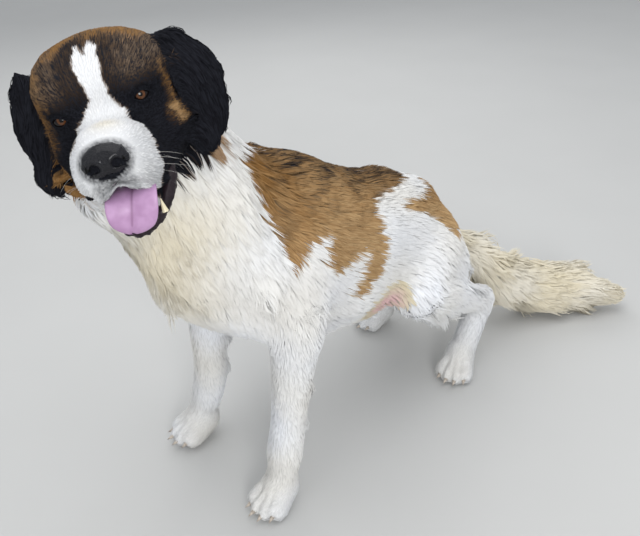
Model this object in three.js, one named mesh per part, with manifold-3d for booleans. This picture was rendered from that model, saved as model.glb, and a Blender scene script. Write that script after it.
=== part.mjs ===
// A saint bernard, life size, half squatting with its forelegs straight and its head turned to its left.
// Millimetres, +Z up. The dog faces -Y and its left side is +X. Its design frame has the point on the
// floor midway between its elbows at 0, 0, 0.
import * as THREE from "three";
import { mergeVertices } from "three/addons/utils/BufferGeometryUtils.js";
import Module from "manifold-3d";

const wasm = await Module();
wasm.setup();

// Driving dimensions of the body. Joint centres are for the left side.
const GAP = 0.3;
const BACK_SLOPE = 21;
const CHEST_HALF_WIDTH = 142;
const CHEST_END = 210;
const LOIN_END = 390;
const ELBOW_HEIGHT = 350;
const PAW_LENGTH = 108;
const PAW_WIDTH = 86;
const HIP = [60, 446, 340];
const KNEE = [118, 326, 292];
const HOCK = [126, 554, 148];
const HIND_PAW = [134, 470, 32];
const RIGHT_LEG_SET_BACK = 44;

// How deep the solid body lies under the tips of its long coat.
const COAT = { neck: 22, torso: 3, thigh: 6, shin: 2, tail: 22, foreleg: 2 };

// Where the head sits and how it is turned: the point midway between the eyes, and angles in degrees.
const HEAD_AT = [80, -258, 819];
const HEAD_TURN = 51;
const HEAD_NOD = 4;
const HEAD_TILT = 13;

// Driving dimensions of the head, about the point midway between the eyes.
const EYE_SPACING = 96;
const EYE_RADIUS = 13;
const LID_THICKNESS = 4;
const SKULL_HALF_WIDTH = 84;
const SKULL_TOP = 72;
const MUZZLE_HALF_WIDTH = 58;
const NOSE_WIDTH = 54;
const NOSE_HEIGHT = 42;
const NOSTRIL_SPACING = 25;
const JAW_BOTTOM = -136;
const CANINE_HEIGHT = 20;
const EAR_THICKNESS = 9;

const radians = THREE.MathUtils.degToRad;
const mirrored = ([x, y, z]) => [-x, y, z];
const offset = ([x, y, z], dx, dy, dz) => [x + dx, y + dy, z + dz];

// Random draws that are the same each time.
function seeded(seed) {
  let state = seed;
  return () => {
    state = (state * 1664525 + 1013904223) % 4294967296;
    return state / 4294967296;
  };
}

// Rounded forms. A form gives about the distance to its surface: below 0 inside, above 0 outside.
function ball([cx, cy, cz], [rx, ry, rz], [turnX = 0, turnY = 0, turnZ = 0] = []) {
  const turn = new THREE.Euler(radians(turnX), radians(turnY), radians(turnZ));
  const m = new THREE.Matrix4().makeRotationFromEuler(turn).elements;
  return (x, y, z) => {
    const [a, b, c] = [x - cx, y - cy, z - cz];
    const u = (m[0] * a + m[1] * b + m[2] * c) / rx;
    const v = (m[4] * a + m[5] * b + m[6] * c) / ry;
    const w = (m[8] * a + m[9] * b + m[10] * c) / rz;
    const near = Math.hypot(u, v, w);
    const steep = Math.hypot(u / rx, v / ry, w / rz);
    return steep < 1e-9 ? -Math.min(rx, ry, rz) : (near * (near - 1)) / steep;
  };
}

function limb([ax, ay, az], [bx, by, bz], startRadius, endRadius) {
  const [dx, dy, dz] = [bx - ax, by - ay, bz - az];
  const length2 = dx * dx + dy * dy + dz * dz;
  return (x, y, z) => {
    const along = ((x - ax) * dx + (y - ay) * dy + (z - az) * dz) / length2;
    const t = Math.min(1, Math.max(0, along));
    const away = Math.hypot(x - ax - t * dx, y - ay - t * dy, z - az - t * dz);
    return away - startRadius - t * (endRadius - startRadius);
  };
}

// Forms melted into one, with rounded fillets of about the given size where they meet.
function melt(fillet, forms) {
  return (x, y, z) => {
    let d = forms[0](x, y, z);
    for (let i = 1; i < forms.length; i += 1) {
      const e = forms[i](x, y, z);
      const h = Math.max(0, fillet - Math.abs(d - e)) / fillet;
      d = Math.min(d, e) - (h * h * fillet) / 4;
    }
    return d;
  };
}

const inset = (form, depth) => (x, y, z) => form(x, y, z) + depth;

// An axis with its side and rise vectors at any place from 0 to 1 along it.
function spine(points, front = [0, 0, 1]) {
  const curve = new THREE.CatmullRomCurve3(points.map((p) => new THREE.Vector3(...p)));
  const ahead = new THREE.Vector3(...front);
  return (t) => {
    const tangent = curve.getTangentAt(t);
    const side = new THREE.Vector3().crossVectors(tangent, ahead).normalize();
    const rise = new THREE.Vector3().crossVectors(side, tangent);
    return { at: curve.getPointAt(t), tangent, side, rise };
  };
}

// The point where a ray from inside the form reaches its surface, or a little past it.
function cast(form, from, ray, grow = 0) {
  const depth = (s) => form(from.x + s * ray.x, from.y + s * ray.y, from.z + s * ray.z) - grow;
  let inner = 0;
  let outer = 0;
  for (let d = depth(0); d < 0; d = depth(outer)) {
    inner = outer;
    outer += Math.max(1, -0.8 * d);
  }
  for (let step = 0; step < 22; step += 1) {
    const middle = (inner + outer) / 2;
    if (depth(middle) < 0) inner = middle;
    else outer = middle;
  }
  return from.clone().addScaledVector(ray, outer);
}

// A closed mesh round a form: each point of a capsule is cast outward from the axis to the surface.
function wrap(form, axis, { sides, rows, caps }, grow = 0) {
  const shell = new THREE.CapsuleGeometry(1, 1, caps, sides, rows);
  const points = shell.attributes.position;
  for (let i = 0; i < points.count; i += 1) {
    const height = Math.min(0.5, Math.max(-0.5, points.getY(i)));
    const { at, tangent, side, rise } = axis(0.5 - height);
    const ray = side.multiplyScalar(points.getX(i)).addScaledVector(rise, points.getZ(i));
    ray.addScaledVector(tangent, height - points.getY(i)).normalize();
    points.setXYZ(i, ...cast(form, at, ray, grow).toArray());
  }
  return solid(shell);
}

// A closed geometry as a solid that can be joined and cut, always with its faces outward.
function solid(geometry, weld = 1e-3) {
  const bare = geometry.clone();
  bare.deleteAttribute("normal");
  bare.deleteAttribute("uv");
  const merged = mergeVertices(bare, weld);
  const corners = [];
  for (let i = 0; i < merged.index.count; i += 3) {
    const [a, b, c] = [merged.index.getX(i), merged.index.getX(i + 1), merged.index.getX(i + 2)];
    if (a !== b && b !== c && c !== a) corners.push(a, b, c);
  }
  const make = (triVerts) => {
    const vertProperties = new Float32Array(merged.attributes.position.array);
    return new wasm.Manifold(new wasm.Mesh({ numProp: 3, vertProperties, triVerts: new Uint32Array(triVerts) }));
  };
  const made = make(corners);
  if (made.volume() > 0) return made;
  return make(corners.map((_, i) => corners[3 * Math.floor(i / 3) + [0, 2, 1][i % 3]]));
}

function geometryOf(shape) {
  const { vertProperties, triVerts } = shape.getMesh();
  const geometry = new THREE.BufferGeometry();
  geometry.setAttribute("position", new THREE.BufferAttribute(new Float32Array(vertProperties), 3));
  geometry.setIndex(new THREE.BufferAttribute(new Uint32Array(triVerts), 1));
  return geometry;
}

// Whether each edge, taken by its ends' places, is shared by just two triangles.
function closesUp(shape) {
  const { position } = geometryOf(shape).attributes;
  const corners = geometryOf(shape).index.array;
  const spot = (i) => [position.getX(i), position.getY(i), position.getZ(i)].map((v) => v.toFixed(3)).join(" ");
  const uses = new Map();
  for (let i = 0; i < corners.length; i += 1) {
    const next = i % 3 === 2 ? i - 2 : i + 1;
    const edge = [spot(corners[i]), spot(corners[next])].sort().join(" to ");
    uses.set(edge, (uses.get(edge) ?? 0) + 1);
  }
  return [...uses.values()].every((count) => count === 2);
}

// The shape with the slivers that cuts leave welded away, where it stays closed without them.
const WELDS = [0.12, 0.09, 0.06, 0.04, 0.03, 0.02, 0.01];
function trimmed(shape) {
  for (const weld of WELDS) {
    try {
      const welded = largest(solid(geometryOf(shape), weld));
      if (Math.abs(welded.volume() / shape.volume() - 1) < 1e-3 && closesUp(welded)) return welded;
    } catch {
      continue;
    }
  }
  return shape;
}

const joined = (shapes) => shapes.reduce((whole, shape) => whole.add(shape));
const cutBy = (shape, others) => others.reduce((left, other) => left.subtract(other), shape);
const flip = (shape) => shape.scale([-1, 1, 1]);

const largest = (shape) => {
  const pieces = shape.decompose();
  return pieces.reduce((best, piece) => (piece.volume() > best.volume() ? piece : best));
};

const FAR = 3000;
const slab = (from, to) => {
  const geometry = new THREE.BoxGeometry(...to.map((v, i) => v - from[i]));
  geometry.translate(...to.map((v, i) => (v + from[i]) / 2));
  return solid(geometry);
};
const between = (y0, y1) => slab([-FAR, y0, -FAR], [FAR, y1, FAR]);
const ground = slab([-FAR, -FAR, -FAR], [FAR, FAR, 0]);

// Torso.
const torsoForm = melt(60, [
  ball([0, 62, 500], [112, 170, 150], [-BACK_SLOPE, 0, 0]),
  ball([0, 0, 476], [128, 160, 142]),
  ball([0, 165, 418], [CHEST_HALF_WIDTH, 215, 152], [-BACK_SLOPE, 0, 0]),
  ball([92, 4, 460], [60, 86, 118], [-12, 0, 0]),
  ball([-92, 4, 460], [60, 86, 118], [-12, 0, 0]),
  ball([0, 240, 344], [118, 178, 126], [-8, 0, 0]),
  ball([0, 345, 386], [104, 140, 118], [-BACK_SLOPE, 0, 0]),
  ball([0, 450, 338], [94, 112, 100], [-35, 0, 0]),
]);
const torsoAxis = spine([[0, -60, 480], [0, 60, 450], [0, 200, 400], [0, 340, 355], [0, 450, 330], [0, 500, 310]]);

// Neck, out to the tips of its ruff.
const neckForm = melt(60, [
  limb([-5, -40, 560], [8, -150, 750], 124, 110),
  ball([-10, -84, 574], [121, 134, 144]),
  ball([-36, -142, 690], [98, 108, 96]),
]);
const neckAxis = spine([[-6, -50, 500], [-6, -70, 600], [0, -120, 690], [10, -150, 750]], [0, 1, 0]);

// Paws: four toes in an arc, each with a claw. The paw points to -Y before it is turned.
const TOE_SPREAD = PAW_WIDTH * 0.28;
const toeSeats = [-1.45, -0.5, 0.5, 1.45].map((slot) => ({
  x: slot * TOE_SPREAD * 0.82,
  y: -PAW_LENGTH * 0.3 + Math.abs(slot) ** 2 * 6,
  turn: slot * 9,
}));
const turned = ([x, y, z], at, turn) => {
  const [c, s] = [Math.cos(radians(turn)), Math.sin(radians(turn))];
  return [at[0] + c * x - s * y, at[1] + s * x + c * y, at[2] + z];
};
const pawForm = (at, turn) => melt(9, [
  ball(turned([0, 8, 0], at, turn), [PAW_WIDTH * 0.41, PAW_LENGTH * 0.38, 36], [0, 0, turn]),
  ball(turned([0, 16, 18], at, turn), [31, 33, 36], [0, 0, turn]),
  ...toeSeats.map((toe) => ball(turned([toe.x, toe.y, -12], at, turn), [14, 27, 23], [0, 0, turn + toe.turn])),
]);
const claws = (at, turn) => joined(toeSeats.map((toe) => {
  const claw = new THREE.ConeGeometry(5, 24, 4);
  claw.rotateX(radians(112));
  claw.rotateZ(radians(turn + toe.turn));
  claw.translate(...turned([toe.x, toe.y - 31, -17], at, turn));
  return solid(claw);
}));
const pawAxis = (at, turn) => {
  const places = [[0, 24, 12], [0, 4, 0], [0, -22, -8]];
  return spine(places.map((p) => turned(p, at, turn)), [0, 0, 1]);
};
const paw = (at, turn, grow) => {
  const pad = wrap(pawForm(at, turn), pawAxis(at, turn), { sides: 14, rows: 2, caps: 4 }, grow);
  return grow ? pad : pad.add(claws(at, turn));
};

// Forelegs: elbow, wrist and paw of each side.
const forelegs = {
  left: { elbow: [114, -2, ELBOW_HEIGHT], wrist: [102, -34, 128], paw: [96, -62, 34], turn: 2 },
  right: { elbow: [-118, 2, ELBOW_HEIGHT], wrist: [-142, 0, 126], paw: [-164, -32, 34], turn: -12 },
};
const forelegForm = ({ elbow, wrist, paw: foot }) => melt(20, [
  limb(offset(elbow, 0, 8, 60), elbow, 58, 48),
  limb(elbow, wrist, 44, 30),
  ball(wrist, [33, 34, 36]),
  limb(wrist, offset(foot, 0, 16, 20), 30, 31),
]);
const forelegAxis = ({ elbow, wrist, paw: foot }) =>
  spine([offset(elbow, 0, 8, 80), elbow, wrist, offset(foot, 0, 12, 40)], [0, -1, 0]);

// Left hind leg, half folded. The right one is its mirror image, set a little further back.
const thighForm = melt(40, [
  limb(HIP, KNEE, 76, 60),
  ball(offset(HIP, 14, -26, -44), [58, 94, 80], [-20, 0, 0]),
  ball(offset(HIP, 22, 22, -76), [50, 74, 84], [20, 0, 0]),
]);
const thighAxis = spine([HIP, [92, 386, 312], KNEE]);
const shinForm = melt(24, [
  limb(offset(KNEE, 0, 6, -14), offset(HOCK, 0, -4, 4), 54, 30),
  ball(offset(KNEE, -6, 92, -46), [44, 76, 50], [-30, 0, 0]),
  ball(offset(HOCK, 0, 14, 2), [26, 32, 30]),
]);
const shinAxis = spine([offset(KNEE, 2, 20, -20), [120, 440, 212], HOCK]);
const hockForm = melt(16, [
  limb(offset(HOCK, 0, 6, -6), offset(HIND_PAW, -2, 22, 22), 32, 29),
  ball(offset(HOCK, 2, 26, -2), [20, 20, 24]),
]);
const hockAxis = spine([offset(HOCK, 0, 6, -6), offset(HIND_PAW, -2, 26, 30)], [0, -1, 0]);
const HIND_PAW_TURN = 16;

// Tail, laid on the floor and curling to the left, out to the tips of its plume.
const tailPath = [[30, 540, 296], [56, 620, 216], [84, 694, 124], [130, 784, 70], [208, 868, 58], [288, 930, 42]];
const tailRadii = [50, 56, 72, 70, 60, 26];
const tailForm = melt(30, tailRadii.slice(1).map((r, i) => limb(tailPath[i], tailPath[i + 1], tailRadii[i], r)));
const tailAxis = spine(tailPath);
const TAIL_SPLIT = 690;

// Head, modelled level and straight about the point midway between the eyes.
const headForm = melt(20, [
  ball([0, 62, SKULL_TOP - 74], [SKULL_HALF_WIDTH, 92, 74]),
  ball([44, 50, 22], [46, 60, 46]),
  ball([-44, 50, 22], [46, 60, 46]),
  ball([33, 8, 17], [36, 30, 28]),
  ball([-33, 8, 17], [36, 30, 28]),
  ball([52, 48, -48], [42, 62, 46]),
  ball([-52, 48, -48], [42, 62, 46]),
  ball([0, -54, -40], [42, 60, 34]),
  ball([0, -80, -46], [42, 30, 36]),
  ball([MUZZLE_HALF_WIDTH - 26, -58, -62], [26, 46, 38]),
  ball([26 - MUZZLE_HALF_WIDTH, -58, -62], [26, 46, 38]),
  ball([43, -6, -74], [24, 44, 32]),
  ball([-43, -6, -74], [24, 44, 32]),
  ball([0, 70, -60], [64, 70, 50]),
]);
const headAxis = spine([[0, 70, -4], [0, 30, -16], [0, -20, -40], [0, -70, -50]]);
const skull = (grow) => wrap(headForm, headAxis, { sides: 26, rows: 15, caps: 4 }, grow);

// The mouth: the hollow that the jaw and tongue fill, and the rolled edge of the upper lip.
const mouthForm = ball([2, -58, -106], [42, 62, 24]);
const mouthAxis = spine([[0, -30, -106], [0, -60, -106]]);
const mouth = (grow) => wrap(mouthForm, mouthAxis, { sides: 14, rows: 2, caps: 3 }, grow);
const LIP_RADIUS = 4.5;
const upperLip = (grow) => {
  const right = [[-50, 22, -92], [-53, -20, -98], [-46, -66, -97], [-26, -94, -90], [-6, -106, -82]];
  const path = [...right, ...right.map(mirrored).reverse()].map((p) => new THREE.Vector3(...p));
  const section = new THREE.Shape().absarc(0, 0, LIP_RADIUS + grow, 0, 2 * Math.PI);
  const lip = new THREE.ExtrudeGeometry(section, {
    steps: 18, curveSegments: 4, bevelEnabled: false, extrudePath: new THREE.CatmullRomCurve3(path),
  });
  return solid(lip);
};

// Eyes, with lids round an almond opening that faces a little outward.
const eyeAt = [EYE_SPACING / 2, -2, 0];
const EYE_OPENING = { width: 25, height: 15, outward: 22 };
const sphere = (radius) => {
  const geometry = new THREE.SphereGeometry(radius, 12, 6);
  geometry.translate(...eyeAt);
  return solid(geometry);
};
const eyeOpening = () => {
  const { width, height, outward } = EYE_OPENING;
  const almond = new THREE.Shape();
  almond.moveTo(-width / 2, 0);
  almond.quadraticCurveTo(0, height, width / 2, 0);
  almond.quadraticCurveTo(0, -height, -width / 2, 0);
  const prism = new THREE.ExtrudeGeometry(almond, { depth: 60, bevelEnabled: false, curveSegments: 4 });
  prism.rotateX(radians(90));
  prism.rotateZ(radians(outward));
  prism.translate(...eyeAt);
  return solid(prism);
};

// Nose leather, with a nostril and its side slit on each side.
const noseForm = melt(8, [
  ball([0, -100, -36], [NOSE_WIDTH / 2, 20, NOSE_HEIGHT / 2]),
  ball([14, -106, -38], [14, 14, 15]),
  ball([-14, -106, -38], [14, 14, 15]),
]);
const noseAxis = spine([[0, -96, -36], [0, -100, -36]]);
const nostril = () => {
  const hole = new THREE.SphereGeometry(1, 6, 5);
  hole.scale(6.5, 12, 5);
  hole.rotateY(radians(-24));
  hole.translate(NOSTRIL_SPACING / 2, -122, -39);
  const slit = new THREE.SphereGeometry(1, 6, 4);
  slit.scale(8, 14, 2.4);
  slit.rotateY(radians(28));
  slit.translate(NOSTRIL_SPACING / 2 + 8, -116, -43);
  return solid(hole).add(solid(slit));
};

const jawForm = melt(16, [
  limb([0, 46, -92], [6, -50, -114], 36, 26),
  ball([10, -58, JAW_BOTTOM + 24], [40, 34, 22]),
]);
const jawAxis = spine([[0, 46, -92], [0, -20, -106], [2, -58, -113]]);
const jaw = (grow) => wrap(jawForm, jawAxis, { sides: 12, rows: 5, caps: 3 }, grow);

const tongueForm = melt(10, [
  ball([4, -40, -90], [28, 52, 9], [-8, 0, 0]),
  ball([6, -94, -112], [31, 10, 28], [14, 0, 0]),
]);
const tongueAxis = spine([[4, -20, -89], [4, -60, -93], [6, -88, -100], [6, -95, -116]], [1, 0, 0]);

const canine = (grow) => {
  const cone = new THREE.ConeGeometry(4.5 + 2 * grow, CANINE_HEIGHT + 4 * grow, 8);
  cone.rotateX(radians(82));
  cone.translate(36, -84, -112);
  return solid(cone);
};

// Ears: a hanging leaf with its cup towards the cheek. The left one hangs wide, the right one closer.
const earPath = [[60, 66, 46], [88, 68, 44], [114, 68, 16], [120, 64, -28], [108, 57, -68], [96, 50, -98]];
const EAR_HALF_WIDTH = 41;
const EAR_FLARE = { left: 0.6, right: 0.82 };
const EAR_INWARD = { left: 0, right: 22 };
const ear = (side, grow) => {
  const curve = new THREE.CatmullRomCurve3(earPath.map((p) => new THREE.Vector3(...p)));
  const leaf = new THREE.CapsuleGeometry(1, 1, 3, 10, 7);
  const points = leaf.attributes.position;
  const flare = EAR_FLARE[side];
  const across = new THREE.Vector3(flare, Math.sqrt(1 - flare * flare), 0);
  for (let i = 0; i < points.count; i += 1) {
    const t = Math.min(1, Math.max(0, (1.5 - points.getY(i)) / 3));
    const from = curve.getPointAt(t);
    const out = new THREE.Vector3().crossVectors(curve.getTangentAt(t), across).normalize();
    const wide = EAR_HALF_WIDTH - 15 + 15 * Math.sin(Math.PI * Math.min(1, t * 1.1)) + grow;
    const cup = 8 * points.getX(i) ** 2;
    from.addScaledVector(across, points.getX(i) * wide);
    from.addScaledVector(out, points.getZ(i) * (EAR_THICKNESS / 2 + grow) + cup);
    points.setXYZ(i, from.x - EAR_INWARD[side] * Math.min(1, 3 * t), from.y, from.z);
  }
  const made = solid(leaf);
  return side === "left" ? made : flip(made);
};

// The head's frame: turned to the left, nose a little up and the left side raised.
const head = new THREE.Group();
head.position.set(...HEAD_AT);
head.rotation.set(radians(-HEAD_NOD), radians(-HEAD_TILT), radians(HEAD_TURN), "ZXY");
head.updateMatrixWorld(true);
const toHead = head.matrixWorld.clone().invert().elements;
const inBody = (shape) => shape.transform(head.matrixWorld.elements);
const headInBody = (x, y, z) => headForm(
  toHead[0] * x + toHead[4] * y + toHead[8] * z + toHead[12],
  toHead[1] * x + toHead[5] * y + toHead[9] * z + toHead[13],
  toHead[2] * x + toHead[6] * y + toHead[10] * z + toHead[14],
);

// The cores that the long coat grows from, each as a form with its own shell.
const rightHind = (form) => (x, y, z) => form(-x, y - RIGHT_LEG_SET_BACK, z);
const setRight = (shape) => flip(shape).translate([0, RIGHT_LEG_SET_BACK, 0]);
const coreForms = {
  head: headInBody,
  neck: inset(neckForm, COAT.neck),
  torso: inset(torsoForm, COAT.torso),
  foreleg_left: inset(forelegForm(forelegs.left), COAT.foreleg),
  foreleg_right: inset(forelegForm(forelegs.right), COAT.foreleg),
  thigh_left: inset(thighForm, COAT.thigh),
  thigh_right: rightHind(inset(thighForm, COAT.thigh)),
  hind_leg_left: inset(shinForm, COAT.shin),
  hind_leg_right: rightHind(inset(shinForm, COAT.shin)),
  tail: inset(tailForm, COAT.tail),
};
const neckCore = (grow) => wrap(coreForms.neck, neckAxis, { sides: 18, rows: 6, caps: 3 }, grow);
const torsoCore = (grow) => wrap(coreForms.torso, torsoAxis, { sides: 18, rows: 13, caps: 3 }, grow);
const thighCore = (grow) => wrap(coreForms.thigh_left, thighAxis, { sides: 12, rows: 5, caps: 3 }, grow);
const shinCore = (grow) => wrap(coreForms.hind_leg_left, shinAxis, { sides: 12, rows: 8, caps: 3 }, grow);
const hockCore = (grow) => wrap(hockForm, hockAxis, { sides: 10, rows: 4, caps: 3 }, grow);
const tailCore = (grow) => wrap(coreForms.tail, tailAxis, { sides: 10, rows: 12, caps: 2 }, grow);
const forelegCore = (side, grow) =>
  wrap(coreForms[`foreleg_${side}`], forelegAxis(forelegs[side]), { sides: 12, rows: 9, caps: 2 }, grow);

function nearest(forms, { x, y, z }) {
  return forms.reduce((least, form) => Math.min(least, form(x, y, z)), Infinity);
}

function steepest(forms, p) {
  const here = nearest(forms, p);
  const ahead = (dx, dy, dz) => nearest(forms, { x: p.x + dx, y: p.y + dy, z: p.z + dz }) - here;
  return new THREE.Vector3(ahead(1, 0, 0), ahead(0, 1, 0), ahead(0, 0, 1)).normalize();
}

// One lock: a flat, tapered blade of four sides, rooted below the surface, lying over it along the
// lie of the coat and lifting towards its tip. Past its middle it hangs by the given share.
const LOCK_ROWS = 3;
const LOCK_WIDTHS = [0.75, 1, 0.8, 0.1];
const LOCK_DEPTHS = [1, 0.9, 0.6, 0.12];
const ROOT_DEPTH = 12;
function lock(root, lie, { length, width, lift, hang = 0, thick = 9 }, grow) {
  const forms = Object.values(coreForms);
  const step = length / LOCK_ROWS;
  const place = root.clone();
  const rings = [];
  const heading = lie.clone();
  for (let row = 0; row <= LOCK_ROWS; row += 1) {
    const t = row / LOCK_ROWS;
    const up = steepest(forms, place);
    const wanted = THREE.MathUtils.lerp(-ROOT_DEPTH, lift, Math.min(1, t * 1.6));
    const off = wanted - nearest(forms, place);
    if (off > 0 || hang * t < 0.5) place.addScaledVector(up, off);
    place.z = Math.max(place.z, thick * 0.6);
    heading.z -= hang * t;
    heading.addScaledVector(up, -heading.dot(up) * (1 - hang * t)).normalize();
    const side = new THREE.Vector3().crossVectors(heading, up).normalize();
    rings.push({ at: place.clone(), side, up });
    place.addScaledVector(heading, step);
  }
  const blade = new THREE.CylinderGeometry(1, 1, 1, 4, LOCK_ROWS);
  const points = blade.attributes.position;
  for (let i = 0; i < points.count; i += 1) {
    const row = Math.round((0.5 - points.getY(i)) * LOCK_ROWS);
    const { at, side, up } = rings[row];
    const wide = points.getX(i) * (LOCK_WIDTHS[row] * (width / 2) + grow * 1.5);
    const deep = points.getZ(i) * (LOCK_DEPTHS[row] * (thick / 2) + grow * 1.5);
    const spot = at.clone().addScaledVector(side, wide).addScaledVector(up, deep);
    points.setXYZ(i, spot.x, spot.y, spot.z);
  }
  return solid(blade);
}

// Tiers of locks. Each stands at one place along its axis, over a range of angles round it, in degrees:
// 0 is the rise vector and 90 the side vector. The lie mixes the axis direction, outward and down.
const tiers = {
  neck: [
    { along: 0.9, from: 75, to: 285, count: 5, length: 130, width: 84, lift: 12 },
    { along: 0.62, from: -105, to: 255, count: 8, length: 145, width: 90, lift: 13 },
    { along: 0.34, from: 62, to: 298, count: 7, length: 145, width: 88, lift: 15 },
    { along: 0.3, from: -40, to: 40, count: 2, length: 120, width: 80, lift: 8 },
    { along: 0.06, from: 85, to: 275, count: 5, length: 130, width: 88, lift: 15 },
  ],
  chest: [
    { along: 0.16, from: 125, to: 235, count: 4, length: 105, width: 70, lift: 14, hang: 0.4 },
    { along: 0.32, from: 112, to: 248, count: 4, length: 115, width: 76, lift: 12, hang: 0.4 },
    { along: 0.36, from: -66, to: 66, count: 3, length: 125, width: 84, lift: 7 },
  ],
  loin: [
    { along: 0.56, from: 114, to: 246, count: 5, length: 110, width: 70, lift: 14, hang: 0.6 },
    { along: 0.66, from: 122, to: 238, count: 3, length: 100, width: 64, lift: 12, hang: 0.6 },
    { along: 0.6, from: -60, to: 60, count: 3, length: 110, width: 76, lift: 7 },
  ],
  rump: [
    { along: 0.84, from: -70, to: 70, count: 4, length: 105, width: 72, lift: 9 },
  ],
  thigh: [
    { along: 0.2, from: -200, to: -75, count: 4, length: 115, width: 62, lift: 12, hang: 0.3 },
    { along: 0.8, from: -210, to: -130, count: 3, length: 95, width: 56, lift: 12, hang: 0.9 },
  ],
  hind_leg: [
    { along: 0.12, from: 140, to: 220, count: 3, length: 95, width: 50, lift: 10, hang: 1 },
    { along: 0.36, from: 130, to: 220, count: 3, length: 95, width: 48, lift: 10, hang: 1 },
  ],
  foreleg: [
    { along: 0.42, from: 150, to: 210, count: 2, length: 84, width: 36, lift: 9, hang: 0.3 },
    { along: 0.6, from: 180, to: 180, count: 1, length: 74, width: 32, lift: 8, hang: 0.3 },
  ],
  tail: [
    { along: 0.14, from: -110, to: 60, count: 3, length: 120, width: 66, lift: 17 },
    { along: 0.34, from: -95, to: 175, count: 4, length: 135, width: 74, lift: 16 },
    { along: 0.54, from: -95, to: 175, count: 4, length: 135, width: 74, lift: 16 },
    { along: 0.72, from: -85, to: 160, count: 4, length: 125, width: 66, lift: 15 },
    { along: 0.88, from: -75, to: 135, count: 3, length: 105, width: 56, lift: 13 },
    { along: 0.97, from: -40, to: 100, count: 2, length: 76, width: 44, lift: 9 },
  ],
};
const lies = {
  neck: (frame) => frame.tangent.clone().negate(),
  torso: (frame, out) => frame.tangent.clone().add(new THREE.Vector3(0, 0, out.z < 0.3 ? -0.5 : 0)),
  thigh: () => new THREE.Vector3(0.1, 0.6, -1),
  hind_leg: () => new THREE.Vector3(0, 0.3, -1),
  foreleg: () => new THREE.Vector3(0, 0.5, -1),
  tail: (frame, out) => frame.tangent.clone().addScaledVector(out, 0.25),
};
const CLEAR_OF_OTHERS = ROOT_DEPTH + 2;

function coatOf(node, part, axis, lieName, seed) {
  const random = seeded(seed);
  const vary = (share) => 1 + share * (2 * random() - 1);
  const own = coreForms[part];
  const others = Object.entries(coreForms).filter(([name]) => name !== part).map(([, form]) => form);
  const roots = [];
  for (const tier of tiers[node]) {
    for (let i = 0; i < tier.count; i += 1) {
      const share = tier.count > 1 ? i / (tier.count - 1) : 0.5;
      const angle = radians(tier.from + (tier.to - tier.from) * share + 9 * (vary(1) - 1));
      const frame = axis(Math.min(1, tier.along + 0.02 * (vary(1) - 1)));
      const out = frame.side.clone().multiplyScalar(Math.sin(angle)).addScaledVector(frame.rise, Math.cos(angle));
      const root = cast(own, frame.at, out);
      const sizes = { ...tier, length: tier.length * vary(0.15), width: tier.width * vary(0.12) };
      const lie = lies[lieName](frame, out);
      lie.add(new THREE.Vector3(vary(1) - 1, vary(1) - 1, vary(1) - 1).multiplyScalar(0.16));
      const clear = nearest(others, root) > CLEAR_OF_OTHERS && root.z > CLEAR_OF_OTHERS;
      if (clear) roots.push({ root, lie: lie.normalize(), sizes });
    }
  }
  return (grow) => joined(roots.map(({ root, lie, sizes }) => lock(root, lie, sizes, grow)));
}

// Colours and finishes.
const paint = (color, roughness = 0.85) => new THREE.MeshStandardMaterial({ color, roughness, metalness: 0 });
const white = paint(0xe9e4da);
const cream = paint(0xded2b8);
const tan = paint(0xa9743f);
const dark = paint(0x2a2320);
const leather = paint(0x1d1a1b, 0.45);
const pink = paint(0xc98aa6, 0.4);
const amber = paint(0x5a3216, 0.1);
const ivory = paint(0xe8dcc0, 0.3);

const dog = new THREE.Group();
dog.add(head);

function place(group, name, shape, material) {
  const geometry = geometryOf(trimmed(largest(shape)));
  geometry.computeVertexNormals();
  const mesh = new THREE.Mesh(geometry, material);
  mesh.name = name;
  group.add(mesh);
}

// Head pieces.
const bothEyes = (shape) => shape.add(flip(shape));
const faceShell = (grow) => skull(grow).add(bothEyes(sphere(EYE_RADIUS + LID_THICKNESS + grow))).add(upperLip(grow));
const sockets = bothEyes(eyeOpening().add(sphere(EYE_RADIUS + GAP)));
const headSolid = faceShell(0).subtract(mouth(0)).subtract(sockets);
const headBlock = faceShell(GAP).subtract(mouth(-GAP));
place(head, "head", headSolid, white);
place(head, "eye_left", sphere(EYE_RADIUS), amber);
place(head, "eye_right", flip(sphere(EYE_RADIUS)), amber);
place(head, "nose", wrap(noseForm, noseAxis, { sides: 14, rows: 1, caps: 4 })
  .subtract(bothEyes(nostril())).subtract(headBlock), leather);
place(head, "lower_jaw", jaw(0).subtract(headBlock), dark);
place(head, "canine_left", cutBy(canine(0), [jaw(GAP), headBlock]), ivory);
const tongueShell = wrap(tongueForm, tongueAxis, { sides: 12, rows: 6, caps: 3 });
place(head, "tongue", cutBy(tongueShell, [headBlock, jaw(GAP), canine(GAP)]), pink);
for (const side of ["left", "right"]) place(head, `ear_${side}`, ear(side, 0).subtract(headBlock), dark);

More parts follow.
